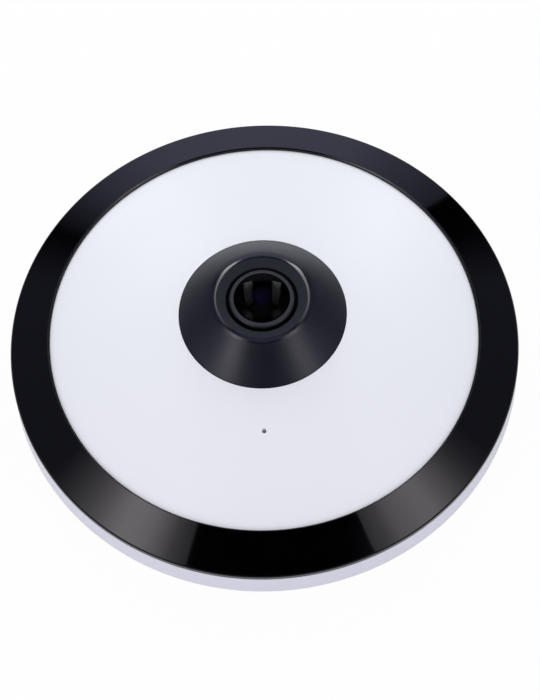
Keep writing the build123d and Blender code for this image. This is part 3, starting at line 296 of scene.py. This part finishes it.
def makeFinish(name, look):
    # a named material. Its colour and roughness drift between two values over "blotch" millimetres, and
    # its surface has a relief of "grain" millimetres. Object coordinates come out in millimetres.
    material = bpy.data.materials.new(name)
    material.use_nodes = True
    tree = material.node_tree
    shader = tree.nodes["Principled BSDF"]
    sockets = {"metallic": "Metallic", "ior": "IOR", "specular": "Specular IOR Level",
               "clear": "Transmission Weight"}
    for key, socket in sockets.items():
        if key in look:
            shader.inputs[socket].default_value = look[key]
    place = addNode(tree, "ShaderNodeTexCoord")
    inMillimetres = addNode(tree, "ShaderNodeVectorMath", {"operation": "SCALE", "Scale": 1 / millimetre},
                            {0: place.outputs["Object"]})
    drift = addNode(tree, "ShaderNodeTexNoise", {"Scale": 1 / look["blotch"], "Detail": 2.0},
                    {"Vector": inMillimetres.outputs[0]})
    usualNoise = (0.25, 0.75)  # noise seldom goes beyond these
    tint = addNode(tree, "ShaderNodeMix",
                   {"data_type": "RGBA", 6: toLinear(look["colours"][0]), 7: toLinear(look["colours"][1])},
                   {0: drift.outputs[0]})
    tree.links.new(tint.outputs[2], shader.inputs["Base Color"])
    rough = addNode(tree, "ShaderNodeMapRange",
                    {"From Min": usualNoise[0], "From Max": usualNoise[1],
                     "To Min": look["roughness"][0], "To Max": look["roughness"][1]},
                    {"Value": drift.outputs[0]})
    tree.links.new(rough.outputs[0], shader.inputs["Roughness"])
    grain = addNode(tree, "ShaderNodeTexNoise",
                    {"Scale": 1 / look["grain"], "Detail": 2.0, "Roughness": 0.6},
                    {"Vector": inMillimetres.outputs[0]})
    bump = addNode(tree, "ShaderNodeBump",
                   {"Strength": look["relief"], "Distance": look["depth"] * millimetre},
                   {"Height": grain.outputs[0]})
    tree.links.new(bump.outputs[0], shader.inputs["Normal"])
    return {"material": material, "tree": tree, "shader": shader, "place": inMillimetres.outputs[0],
            "bump": bump}


def layerColour(finish, hexColour, mask):
    # another colour over the base where the mask is 1
    tree, shader = finish["tree"], finish["shader"]
    below = shader.inputs["Base Color"].links[0].from_socket
    mix = addNode(tree, "ShaderNodeMix", {"data_type": "RGBA", 7: toLinear(hexColour)},
                  {0: mask, 6: below})
    tree.links.new(mix.outputs[2], shader.inputs["Base Color"])


def layerRoughness(finish, roughness, mask):
    # another roughness where the mask is 1
    tree, shader = finish["tree"], finish["shader"]
    below = shader.inputs["Roughness"].links[0].from_socket
    mix = addNode(tree, "ShaderNodeMix", {"data_type": "FLOAT", 3: roughness}, {0: mask, 2: below})
    tree.links.new(mix.outputs[0], shader.inputs["Roughness"])


def layerRelief(finish, height, pattern):
    # the pattern's relief over the grain
    tree, shader = finish["tree"], finish["shader"]
    bump = addNode(tree, "ShaderNodeBump",
                   {"Strength": pattern["relief"], "Distance": pattern["depth"] * millimetre},
                   {"Height": height, "Normal": finish["bump"].outputs[0]})
    tree.links.new(bump.outputs[0], shader.inputs["Normal"])


def fromAxis(finish):
    # the distance from the lens axis in millimetres
    tree = finish["tree"]
    flat = addNode(tree, "ShaderNodeVectorMath", {"operation": "MULTIPLY", 1: (1, 1, 0)},
                   {0: finish["place"]})
    radius = addNode(tree, "ShaderNodeVectorMath", {"operation": "LENGTH"}, {0: flat.outputs[0]})
    return radius.outputs["Value"]


def nearAxis(finish, spot):
    # 1 near the lens axis and 0 outside, fading between the spot's two radii
    fade = addNode(finish["tree"], "ShaderNodeMapRange",
                   {"interpolation_type": "SMOOTHSTEP", "From Min": spot["full"], "From Max": spot["none"],
                    "To Min": 1.0, "To Max": 0.0}, {"Value": fromAxis(finish)})
    return fade.outputs[0]


def layerRings(finish, rings):
    # fine rings round the lens axis, as a lathe leaves them
    tree = finish["tree"]
    step = addNode(tree, "ShaderNodeMath", {"operation": "MULTIPLY", 1: 2 * math.pi / rings["pitch"]},
                   {0: fromAxis(finish)})
    wave = addNode(tree, "ShaderNodeMath", {"operation": "SINE"}, {0: step.outputs[0]})
    layerRelief(finish, wave.outputs[0], rings)


# White ABS from a spark-eroded mould: an even soft white, a little cool, with a tooth too fine to
# shine. The tooth is drawn at 0.35 mm, coarser than the real one, so that it shows at all.
whiteAbs = makeFinish("mouldedWhiteAbs", {
    "colours": ("#EEF1F5", "#ECEFF3"), "roughness": (0.40, 0.46), "ior": 1.53, "blotch": 26.0,
    "grain": 0.35, "relief": 0.10, "depth": 0.02,
})

# Polycarbonate that passes infra-red, from a polished mould: piano black that mirrors the softboxes,
# with the faint long swirls of moulding
glossBlack = makeFinish("polishedBlackPolycarbonate", {
    "colours": ("#010102", "#020202"), "roughness": (0.03, 0.06), "ior": 1.5, "blotch": 14.0,
    "grain": 11.0, "relief": 0.04, "depth": 0.02,
})

# Slate ABS from a fine matt mould: dark blue-grey satin that spreads the softboxes into soft patches.
# The roll of the collar is polished and shows the lamps as thin bright arcs, and the slope inside it is
# dead matt. Both are full up to one radius and gone at the next.
slateAbs = makeFinish("satinSlateAbs", {
    "colours": ("#11131E", "#131522"), "roughness": (0.32, 0.36), "ior": 1.5, "specular": 0.48,
    "blotch": 9.0, "grain": 0.22, "relief": 0.12, "depth": 0.015,
})
polishedRoll = {"full": 14.1, "none": 15.0, "roughness": 0.14}
mattSlope = {"full": 12.85, "none": 12.95, "roughness": 0.75, "colour": "#0A151F"}
onSlope = nearAxis(slateAbs, mattSlope)
layerRoughness(slateAbs, polishedRoll["roughness"], nearAxis(slateAbs, polishedRoll))
layerRoughness(slateAbs, mattSlope["roughness"], onSlope)
layerColour(slateAbs, mattSlope["colour"], onSlope)

# White powder coat over die-cast aluminium: slight orange peel, about 0.9 mm across
powderCoat = makeFinish("powderCoatedCasting", {
    "colours": ("#E4E5F0", "#E0E1ED"), "roughness": (0.38, 0.46), "blotch": 24.0,
    "grain": 0.9, "relief": 0.25, "depth": 0.03,
})

# Grey anodised aluminium, turned: matt grey with hair-fine tool rings
greyAnodised = makeFinish("turnedGreyAnodised", {
    "colours": ("#2E3136", "#32353A"), "roughness": (0.42, 0.5), "metallic": 0.4, "blotch": 3.0,
    "grain": 0.3, "relief": 0.08, "depth": 0.01,
})
layerRings(greyAnodised, {"pitch": 0.25, "relief": 0.15, "depth": 0.01})

# Coated optical glass over a blackened barrel. Its index is set low, in place of the coating: hardly any
# glare, so the front reads as black, the lamps leave soft patches, and the middle is painted violet round
# the axis, a painted reflection of the coating's glare.
coatedGlass = makeFinish("coatedOpticalGlass", {
    "colours": ("#26262C", "#2A2A30"), "roughness": (0.04, 0.05), "ior": 1.11, "clear": 0.985,
    "blotch": 20.0, "grain": 6.0, "relief": 0.0, "depth": 0.001,
})
# painted reflection: the coating's violet glare, painted into the glass's colour near the axis
paintedVioletReflection = {"full": 1.0, "none": 3.8, "colour": "#5F4E8C"}
layerColour(coatedGlass, paintedVioletReflection["colour"], nearAxis(coatedGlass, paintedVioletReflection))

# Inner glasses with a violet anti-reflection coat. The coat's violet glare is painted into the glasses'
# colour, so light through them turns violet: a painted reflection.
paintedVioletGlass = makeFinish("violetPaintedReflectionGlass", {
    "colours": ("#5A48B8", "#4C46C4"), "roughness": (0.0, 0.01), "ior": 1.5, "clear": 0.9,
    "blotch": 6.0, "grain": 5.0, "relief": 0.01, "depth": 0.001,
})

# Zinc-plated pressed steel: pale bluish metal with dull spangle about 5 mm across
zincSteel = makeFinish("zincPlatedSteel", {
    "colours": ("#B8BDC2", "#CBD0D4"), "roughness": (0.28, 0.42), "metallic": 1.0, "blotch": 12.0,
    "grain": 0.5, "relief": 0.12, "depth": 0.01,
})
spangle = {"size": 5.0, "share": 0.35, "colour": "#9AA2AA"}
tree = zincSteel["tree"]
crystals = addNode(tree, "ShaderNodeTexVoronoi", {"Scale": 1 / spangle["size"]},
                   {"Vector": zincSteel["place"]})
tone = addNode(tree, "ShaderNodeSeparateColor", None, {0: crystals.outputs["Color"]})
dulled = addNode(tree, "ShaderNodeMath", {"operation": "MULTIPLY", 1: spangle["share"]},
                 {0: tone.outputs[0]})
layerColour(zincSteel, spangle["colour"], dulled.outputs[0])

# Moulded nitrile rubber: dead matt black with a faint grey bloom and a tooth of about 0.4 mm
nitrile = makeFinish("mouldedNitrileRubber", {
    "colours": ("#131313", "#1C1C1D"), "roughness": (0.7, 0.85), "specular": 0.35, "blotch": 2.5,
    "grain": 0.4, "relief": 0.3, "depth": 0.03,
})

# Black anodised aluminium, turned, as lens barrels are: near-black with fine rings
blackAnodised = makeFinish("turnedBlackAnodised", {
    "colours": ("#0B0B0C", "#111113"), "roughness": (0.4, 0.55), "metallic": 0.2, "blotch": 3.0,
    "grain": 0.3, "relief": 0.1, "depth": 0.01,
})
layerRings(blackAnodised, {"pitch": 0.35, "relief": 0.3, "depth": 0.02})

# Plain flat glass of the clear filter and the sensor's window
clearGlass = makeFinish("polishedFlatGlass", {
    "colours": ("#EEF4F4", "#E8F0F2"), "roughness": (0.01, 0.02), "ior": 1.52, "clear": 0.9,
    "blotch": 4.0, "grain": 3.0, "relief": 0.01, "depth": 0.001,
})

# Infra-red cut glass: pale cyan that drifts to blue, as its coating does
cutGlass = makeFinish("infraredCutGlass", {
    "colours": ("#8FD2D8", "#A4C8E4"), "roughness": (0.01, 0.03), "ior": 1.52, "clear": 0.7,
    "blotch": 4.0, "grain": 3.0, "relief": 0.01, "depth": 0.001,
})

# Glass-filled nylon: charcoal, roughened by the short fibres in its surface, about 0.3 mm long
filledNylon = makeFinish("glassFilledNylon", {
    "colours": ("#1B1B1C", "#232325"), "roughness": (0.5, 0.62), "blotch": 3.0,
    "grain": 0.3, "relief": 0.25, "depth": 0.02,
})

# Green solder mask over copper tracks: tracks run at a 0.8 mm pitch and show a paler green, and
# round tinned pads break the mask
solderMask = makeFinish("greenSolderMask", {
    "colours": ("#0C4A2A", "#0E5430"), "roughness": (0.3, 0.42), "blotch": 9.0,
    "grain": 0.6, "relief": 0.1, "depth": 0.02,
})
track = {"pitch": 0.8, "width": 0.12, "softness": 0.1, "run": 7.3, "shift": 0.37, "share": 0.55,
         "colour": "#2E8A52", "relief": 0.3, "depth": 0.035}
pad = {"spacing": 2.6, "full": 0.16, "none": 0.19, "colour": "#C9C4AE"}
tree = solderMask["tree"]
tracks = addNode(tree, "ShaderNodeTexBrick",
                 {"Scale": 1.0, "Mortar Size": track["width"], "Mortar Smooth": track["softness"],
                  "Brick Width": track["run"], "Row Height": track["pitch"], "offset": track["shift"]},
                 {"Vector": solderMask["place"]})
overTracks = addNode(tree, "ShaderNodeMath", {"operation": "MULTIPLY", 1: track["share"]},
                     {0: tracks.outputs["Fac"]})
layerColour(solderMask, track["colour"], overTracks.outputs[0])
pads = addNode(tree, "ShaderNodeTexVoronoi", {"Scale": 1 / pad["spacing"]},
               {"Vector": solderMask["place"]})
onPads = addNode(tree, "ShaderNodeMapRange",
                 {"From Min": pad["full"], "From Max": pad["none"], "To Min": 1.0, "To Max": 0.0},
                 {"Value": pads.outputs["Distance"]})
layerColour(solderMask, pad["colour"], onPads.outputs[0])
layerRelief(solderMask, tracks.outputs["Fac"], track)

# Moulded epoxy of chips: flat charcoal with fine sand
mouldedEpoxy = makeFinish("mouldedChipEpoxy", {
    "colours": ("#222224", "#2A2A2C"), "roughness": (0.48, 0.6), "blotch": 2.0,
    "grain": 0.15, "relief": 0.3, "depth": 0.01,
})

# Fired ceramic of the sensor's package: dull grey, slightly granular
firedCeramic = makeFinish("firedCeramic", {
    "colours": ("#5C5B5E", "#666569"), "roughness": (0.5, 0.6), "blotch": 1.5,
    "grain": 0.2, "relief": 0.2, "depth": 0.01,
})

# Nickel-plated magnet: bright, faintly yellow metal with soft mottling
nickelPlate = makeFinish("nickelPlatedMagnet", {
    "colours": ("#A9A69C", "#BDB9AE"), "roughness": (0.16, 0.28), "metallic": 1.0, "blotch": 1.5,
    "grain": 0.4, "relief": 0.1, "depth": 0.01,
})

# Enamelled copper wire, wound: turns of 0.25 mm wire lie side by side along the coil, with painted shade
# darkening the grooves between the turns
enamelWire = makeFinish("woundCopperWire", {
    "colours": ("#B4602E", "#C4733A"), "roughness": (0.22, 0.32), "metallic": 1.0, "blotch": 2.0,
    "grain": 0.3, "relief": 0.05, "depth": 0.01,
})
wire = {"width": 0.25, "gap": 0.45, "share": 0.85, "grooveShadeColour": "#3A1608", "relief": 0.8, "depth": 0.08}
tree = enamelWire["tree"]
alongCoil = addNode(tree, "ShaderNodeSeparateXYZ", None, {0: enamelWire["place"]})
wirePhase = addNode(tree, "ShaderNodeMath", {"operation": "MULTIPLY", 1: math.pi / wire["width"]},
                    {0: alongCoil.outputs[0]})
wireTurns = addNode(tree, "ShaderNodeMath", {"operation": "SINE"}, {0: wirePhase.outputs[0]})
wireHeight = addNode(tree, "ShaderNodeMath", {"operation": "ABSOLUTE"}, {0: wireTurns.outputs[0]})
# painted shade: darker where the turns meet
paintedGrooveShade = addNode(tree, "ShaderNodeMapRange",
                  {"From Min": 0.0, "From Max": wire["gap"], "To Min": wire["share"], "To Max": 0.0},
                  {"Value": wireHeight.outputs[0]})
layerColour(enamelWire, wire["grooveShadeColour"], paintedGrooveShade.outputs[0])
layerRelief(enamelWire, wireHeight.outputs[0], wire)

# Zinc-plated screw steel: bright, with the fine marks of forming
screwSteel = makeFinish("platedScrewSteel", {
    "colours": ("#B9BCC1", "#CACDD1"), "roughness": (0.22, 0.34), "metallic": 1.0, "blotch": 2.0,
    "grain": 0.25, "relief": 0.15, "depth": 0.01,
})

# Filled silicone of the thermal pad: soft blue-grey, mottled by its filler
filledSilicone = makeFinish("filledSilicone", {
    "colours": ("#8E99A6", "#9CA7B2"), "roughness": (0.55, 0.68), "blotch": 2.0,
    "grain": 0.3, "relief": 0.25, "depth": 0.03,
})

# Milky epoxy of the infra-red lights, cast round each chip
castEpoxy = makeFinish("castMilkyEpoxy", {
    "colours": ("#E4E2D6", "#DAD8CC"), "roughness": (0.12, 0.2), "ior": 1.54, "blotch": 1.5,
    "grain": 0.6, "relief": 0.05, "depth": 0.01,
})

# Drawn aluminium of the capacitors' cans: bright satin with fine marks
drawnAluminium = makeFinish("drawnAluminiumCan", {
    "colours": ("#CFD1D4", "#DADCDF"), "roughness": (0.24, 0.34), "metallic": 1.0, "blotch": 2.5,
    "grain": 0.2, "relief": 0.15, "depth": 0.01,
})

# every CAD piece gets the finish of its material slot
finishOf = {
    "zinc_steel": zincSteel, "white_casting": powderCoat, "black_gloss": glossBlack,
    "white_plastic": whiteAbs, "slate_plastic": slateAbs, "black_rubber": nitrile,
    "black_metal": blackAnodised, "grey_metal": greyAnodised, "lens_glass": paintedVioletGlass,
    "clear_glass": clearGlass, "cut_glass": cutGlass, "black_plastic": filledNylon,
    "green_board": solderMask, "chip": mouldedEpoxy, "sensor_ceramic": firedCeramic,
    "magnet": nickelPlate, "copper": enamelWire, "screw_steel": screwSteel,
    "grey_pad": filledSilicone, "light_white": castEpoxy, "can_metal": drawnAluminium,
}
for part in frame["record"]["subparts"]:
    surface = nodes[part["node"]].data.materials
    surface.clear()
    surface.append(finishOf[part["material_slot"]]["material"])
print("materials made")


def arcPoints(start, middle, end, count):
    # points on the circle through three (radius, height) points, the first and last included
    (ax, ay), (bx, by), (cx, cy) = start, middle, end
    d = 2 * (ax * (by - cy) + bx * (cy - ay) + cx * (ay - by))
    a, b, c = ax * ax + ay * ay, bx * bx + by * by, cx * cx + cy * cy
    x = (a * (by - cy) + b * (cy - ay) + c * (ay - by)) / d
    y = (a * (cx - bx) + b * (ax - cx) + c * (bx - ax)) / d
    radius = math.hypot(ax - x, ay - y)
    first, half, last = (math.atan2(p[1] - y, p[0] - x) for p in (start, middle, end))
    turn = (last - first) % (2 * math.pi)
    if (half - first) % (2 * math.pi) > turn:
        turn -= 2 * math.pi
    angles = [first + turn * i / (count - 1) for i in range(count)]
    return [(max(x + radius * math.cos(t), 0.0), y + radius * math.sin(t)) for t in angles]


def easeEdges(piece, width, angle):
    # round off what is sharper than the angle
    ease = piece.modifiers.new("easedEdges", "BEVEL")
    ease.width = width * millimetre
    ease.segments = 3
    ease.limit_method = "ANGLE"
    ease.angle_limit = math.radians(angle)
    ease.harden_normals = True


weldDistance = 1e-7  # metres, for points that meet on the axis
thinnestEdge = 1e-8


def turnPiece(name, outline, finish, segments, centres=((0, 0),)):
    # a turned piece from its closed half section in millimetres, at one or more centres
    mesh = bpy.data.meshes.new(name)
    bm = bmesh.new()
    for centre in centres:
        one = bmesh.new()
        corners = [one.verts.new((r * millimetre, 0, z * millimetre)) for r, z in outline]
        rim = [one.edges.new((corners[i], corners[(i + 1) % len(corners)])) for i in range(len(corners))]
        bmesh.ops.spin(one, geom=corners + rim, cent=(0, 0, 0), axis=(0, 0, 1), angle=2 * math.pi,
                       steps=segments, use_merge=True, use_duplicate=False)
        bmesh.ops.remove_doubles(one, verts=one.verts, dist=weldDistance)
        bmesh.ops.dissolve_degenerate(one, edges=one.edges, dist=thinnestEdge)
        bmesh.ops.delete(one, geom=[e for e in one.edges if not e.link_faces], context="EDGES")
        bmesh.ops.translate(one, verts=one.verts, vec=(centre[0] * millimetre, centre[1] * millimetre, 0))
        bmesh.ops.recalc_face_normals(one, faces=one.faces)
        single = bpy.data.meshes.new("oneOf" + name)
        one.to_mesh(single)
        one.free()
        bm.from_mesh(single)
        bpy.data.meshes.remove(single)
    bm.to_mesh(mesh)
    bm.free()
    mesh.shade_smooth()
    mesh.materials.append(finish["material"])
    piece = bpy.data.objects.new(name, mesh)
    scene.collection.objects.link(piece)
    return piece


def cutOrJoin(piece, tool, operation):
    # cut the tool out of the piece or join it on
    change = piece.modifiers.new(tool.name, "BOOLEAN")
    change.operation = operation
    change.solver = "EXACT"
    change.object = tool


def settle(piece, tools):
    # the piece's modifiers become its mesh, and the tools go
    shaped = bpy.data.meshes.new_from_object(piece.evaluated_get(bpy.context.evaluated_depsgraph_get()))
    piece.modifiers.clear()
    piece.data = shaped
    for tool in tools:
        bpy.data.objects.remove(tool)


def standFor(piece, node):
    # the piece stands for its CAD node and moves with the camera's body
    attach(piece, "camera")
    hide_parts(node)


# Bezel: a flat cone of gloss black with a thin chamfer at its lip and round the cover's well, the
# ledge that carries the cover, and a skirt with the groove of its sealing ring. Here and below a pair
# is a radius and a height.
bezel = {"rim": (75.1, 18.9), "lip": (75.0, 20.75), "lipFlare": 0.02, "crest": (63.0, 25.3),
         "chamfer": 0.35, "ledge": 22.2, "ledgeInner": 59.5, "ledgeWall": 1.6, "web": 65.2, "wall": 2.2,
         "skirtOuter": 72.65, "skirtInner": 69.75, "skirtLow": 15.5, "grooveDepth": 71.5,
         "grooveLow": 16.35, "grooveHigh": 18.05, "bevel": 0.09, "bevelOver": 20, "turns": 360}
fall = (bezel["crest"][1] - bezel["lip"][1]) / (bezel["lip"][0] - bezel["crest"][0])
bezelOutline = [
    bezel["rim"],
    (bezel["lip"][0] + bezel["lipFlare"], bezel["lip"][1] - bezel["chamfer"]),
    (bezel["lip"][0] - bezel["chamfer"], bezel["lip"][1] + bezel["chamfer"] * fall),
    (bezel["crest"][0] + bezel["chamfer"], bezel["crest"][1] - bezel["chamfer"] * fall),
    (bezel["crest"][0], bezel["crest"][1] - bezel["chamfer"]),
    (bezel["crest"][0], bezel["ledge"]),
    (bezel["ledgeInner"], bezel["ledge"]),
    (bezel["ledgeInner"], bezel["ledge"] - bezel["ledgeWall"]),
    (bezel["web"], bezel["ledge"] - bezel["ledgeWall"]),
    (bezel["web"], bezel["crest"][1] - bezel["wall"] * (1 + fall)),
    (bezel["skirtInner"],
     bezel["lip"][1] + (bezel["lip"][0] - bezel["skirtInner"]) * fall - bezel["wall"]),
    (bezel["skirtInner"], bezel["skirtLow"]),
    (bezel["skirtOuter"], bezel["skirtLow"]),
    (bezel["skirtOuter"], bezel["grooveLow"]),
    (bezel["grooveDepth"], bezel["grooveLow"]),
    (bezel["grooveDepth"], bezel["grooveHigh"]),
    (bezel["skirtOuter"], bezel["grooveHigh"]),
    (bezel["skirtOuter"], bezel["rim"][1]),
]
bezelShell = turnPiece("bezelShell", bezelOutline, glossBlack, bezel["turns"])
easeEdges(bezelShell, bezel["bevel"], bezel["bevelOver"])
standFor(bezelShell, "front_bezel")

# Cover: a white shallow cone with a slight crown. Behind it are its four posts, the sealing groove
# under the shroud and the cup that holds the microphone, and a small hole lets the sound in.
cover = {"edge": (62.85, 24.2), "seat": (24.25, 33.75), "crown": 0.5, "rings": 20, "wall": 2.0,
         "seatFloor": 32.55, "grooveOuter": 22.75, "grooveInner": 21.25, "grooveFloor": 31.75,
         "ledgeInner": 20.65, "ledgeLow": 30.9, "backInner": 26.25, "backOuter": 59.35, "ledge": 22.2,
         "bevel": 0.15, "bevelOver": 30, "turns": 360,
         "posts": {"circle": 55.95, "radius": 3.4, "low": 18.2, "bore": 1.55, "boreTop": 22.2,
                   "turns": 40, "boreTurns": 32},
         "micCup": {"place": 36.05, "outer": 5.0, "bore": 4.15, "low": 24.975, "boreTop": 28.475,
                    "hole": 0.67, "turns": 56, "boreTurns": 48}}
posts, micCup = cover["posts"], cover["micCup"]
cutterReach = 4.0  # how far a cutter stands out of what it cuts


def coverHeight(radius):
    # the face's height at a radius: a straight cone, with the crown added halfway up
    part = (cover["edge"][0] - radius) / (cover["edge"][0] - cover["seat"][0])
    rise = cover["seat"][1] - cover["edge"][1]
    return cover["edge"][1] + part * rise + 4 * cover["crown"] * part * (1 - part)


stepRadii = [cover["edge"][0] + (cover["seat"][0] - cover["edge"][0]) * i / cover["rings"]
             for i in range(cover["rings"] + 1)]
coverOutline = [(r, coverHeight(r)) for r in stepRadii]
coverOutline += [
    (cover["seat"][0], cover["seatFloor"]),
    (cover["grooveOuter"], cover["seatFloor"]),
    (cover["grooveOuter"], cover["grooveFloor"]),
    (cover["grooveInner"], cover["grooveFloor"]),
    (cover["grooveInner"], cover["seatFloor"]),
    (cover["ledgeInner"], cover["seatFloor"]),
    (cover["ledgeInner"], cover["ledgeLow"]),
    (cover["backInner"], cover["ledgeLow"]),
]
backRadii = stepRadii[3:-2:3]  # the back follows the face in coarser steps
coverOutline += [(r, coverHeight(r) - cover["wall"]) for r in reversed(backRadii)]
coverOutline += [(cover["backOuter"], cover["ledge"]), (cover["edge"][0], cover["ledge"])]
coverPlate = turnPiece("coverPlate", coverOutline, whiteAbs, cover["turns"])
quarter = posts["circle"] * math.sqrt(0.5)
postPlaces = [(x * quarter, y * quarter) for x in (-1, 1) for y in (-1, 1)]
micPlace = [(0, -micCup["place"])]
postTop = coverHeight(posts["circle"]) - cover["wall"] / 2
cupTop = coverHeight(micCup["place"]) - cover["wall"] / 2
coverFall = (cover["seat"][1] - cover["edge"][1]) / (cover["edge"][0] - cover["seat"][0])
postShaft = [(0, posts["low"]), (posts["radius"], posts["low"]), (posts["radius"], postTop), (0, postTop)]
cupBlank = [(0, micCup["low"]), (micCup["outer"], micCup["low"]), (micCup["outer"], cupTop), (0, cupTop)]
screwBore = [(0, posts["low"] - cutterReach), (posts["bore"], posts["low"] - cutterReach),
             (posts["bore"], posts["boreTop"]), (0, posts["boreTop"])]
soundWay = [(0, micCup["low"] - cutterReach), (micCup["bore"], micCup["low"] - cutterReach),
            (micCup["bore"], micCup["boreTop"]), (micCup["hole"], micCup["boreTop"]),
            (micCup["hole"], cupTop + cutterReach), (0, cupTop + cutterReach)]
micCupBlank = turnPiece("cupBlank", cupBlank, whiteAbs, micCup["turns"], micPlace)
tools = [
    (turnPiece("coverPosts", postShaft, whiteAbs, posts["turns"], postPlaces), "UNION"),
    (micCupBlank, "UNION"),
    (turnPiece("screwBores", screwBore, whiteAbs, posts["boreTurns"], postPlaces), "DIFFERENCE"),
    (turnPiece("soundWay", soundWay, whiteAbs, micCup["boreTurns"], micPlace), "DIFFERENCE"),
]
for vertex in micCupBlank.data.vertices:  # the blank's top slopes as the face does
    if vertex.co.z > (micCup["low"] + cupTop) / 2 * millimetre:
        vertex.co.z += (vertex.co.y + micCup["place"] * millimetre) * coverFall
for tool, operation in tools:
    cutOrJoin(coverPlate, tool, operation)
easeEdges(coverPlate, cover["bevel"], cover["bevelOver"])
settle(coverPlate, [tool for tool, operation in tools])
standFor(coverPlate, "front_cover")

# Shroud: a satin slate cone that rolls over into a collar round the lens, with its guard and spigot. Its
# slopes say how steep its face is, in degrees, at each radius from its base over the collar and down
# inside.
shroud = {"base": (24.1, 33.75), "seat": 32.55, "opening": (10.3, 41.6), "guardLow": 37.5, "wall": 2.0,
          "roof": 40.45, "collarInner": 13.85, "roofFall": 0.9, "spigotOuter": 20.5, "spigotInner": 18.7,
          "spigotLow": 27.9, "bevel": 0.1, "bevelOver": 20, "slopeSteps": 4, "turns": 256,
          "slopes": [(24.1, 45.9), (23.2, 44.9), (21.5, 43.9), (19.5, 42.7), (17.5, 41.2), (16, 39.4),
                     (15.4, 36.4), (14.9, 31.5), (14.5, 26.5), (14.1, 21.5), (13.7, 17), (13.4, 14),
                     (13.15, 11.5), (13, 9), (12.93, -10), (12.88, -22)]}


def followSlopes(start, slopes, steps):
    # points along a face with these slopes, from its start on
    points = [start]
    for (radius, slope), (nextRadius, nextSlope) in zip(slopes, slopes[1:]):
        for i in range(steps):
            tilt = math.radians(slope + (nextSlope - slope) * (i + 0.5) / steps)
            along = (radius - nextRadius) / steps
            points.append((points[-1][0] - along, points[-1][1] + along * math.tan(tilt)))
    return points


shroudOutline = followSlopes(shroud["base"], shroud["slopes"], shroud["slopeSteps"])
shroudOutline += [
    shroud["opening"],
    (shroud["opening"][0], shroud["guardLow"]),
    (shroud["opening"][0] + shroud["wall"], shroud["guardLow"]),
    (shroud["opening"][0] + shroud["wall"], shroud["roof"]),
    (shroud["collarInner"], shroud["roof"]),
    (shroud["spigotInner"],
     shroud["roof"] - (shroud["spigotInner"] - shroud["collarInner"]) * shroud["roofFall"]),
    (shroud["spigotInner"], shroud["spigotLow"]),
    (shroud["spigotOuter"], shroud["spigotLow"]),
    (shroud["spigotOuter"], shroud["seat"]),
    (shroud["base"][0], shroud["seat"]),
]
shroudCone = turnPiece("shroudCone", shroudOutline, slateAbs, shroud["turns"])
easeEdges(shroudCone, shroud["bevel"], shroud["bevelOver"])
standFor(shroudCone, "lens_shroud")

# Grey ring that holds the front glass, with its fine skirt in the barrel
lensRing = {"outer": 9.25, "inner": 8.0, "top": 42.45, "low": 41.45, "chamfer": 0.35, "skirtOuter": 8.7,
            "skirtInner": 8.35, "skirtLow": 40.25, "bevel": 0.06, "bevelOver": 20, "turns": 192}
ringOutline = [
    (lensRing["inner"], lensRing["low"]),
    (lensRing["inner"], lensRing["top"]),
    (lensRing["outer"] - lensRing["chamfer"], lensRing["top"]),
    (lensRing["outer"], lensRing["top"] - lensRing["chamfer"]),
    (lensRing["outer"], lensRing["low"]),
    (lensRing["skirtOuter"], lensRing["low"]),
    (lensRing["skirtOuter"], lensRing["skirtLow"]),
    (lensRing["skirtInner"], lensRing["skirtLow"]),
    (lensRing["skirtInner"], lensRing["low"]),
]
glassRing = turnPiece("glassRing", ringOutline, greyAnodised, lensRing["turns"])
easeEdges(glassRing, lensRing["bevel"], lensRing["bevelOver"])
standFor(glassRing, "lens_retaining_ring")

# Front glass: a shallow dome, hollow behind
dome = {"rim": (7.75, 42.45), "apex": 44.2, "stepTop": 41.45, "stepRadius": 8.3, "stepLow": 39.35,
        "hollowRim": 6.2, "hollowApex": 42.65, "points": 32, "hollowPoints": 28, "turns": 128}


def capHeight(rim, rise, radius):
    # height of a spherical cap over the plane of its rim
    ball = (rim ** 2 + rise ** 2) / (2 * rise)
    return rise - ball + math.sqrt(ball ** 2 - radius ** 2)


domeRise = dome["apex"] - dome["rim"][1]
hollowRise = dome["hollowApex"] - dome["stepLow"]
domeMiddle = (dome["rim"][0] / 2, dome["rim"][1] + capHeight(dome["rim"][0], domeRise, dome["rim"][0] / 2))
hollowMiddle = (dome["hollowRim"] / 2,
                dome["stepLow"] + capHeight(dome["hollowRim"], hollowRise, dome["hollowRim"] / 2))
domeOutline = arcPoints((0.0, dome["apex"]), domeMiddle, dome["rim"], dome["points"])
domeOutline += [
    (dome["rim"][0], dome["stepTop"]),
    (dome["stepRadius"], dome["stepTop"]),
    (dome["stepRadius"], dome["stepLow"]),
]
domeOutline += arcPoints((dome["hollowRim"], dome["stepLow"]), hollowMiddle, (0.0, dome["hollowApex"]),
                         dome["hollowPoints"])
domeGlass = turnPiece("domeGlass", domeOutline, coatedGlass, dome["turns"])
standFor(domeGlass, "front_element")
print("front pieces turned")
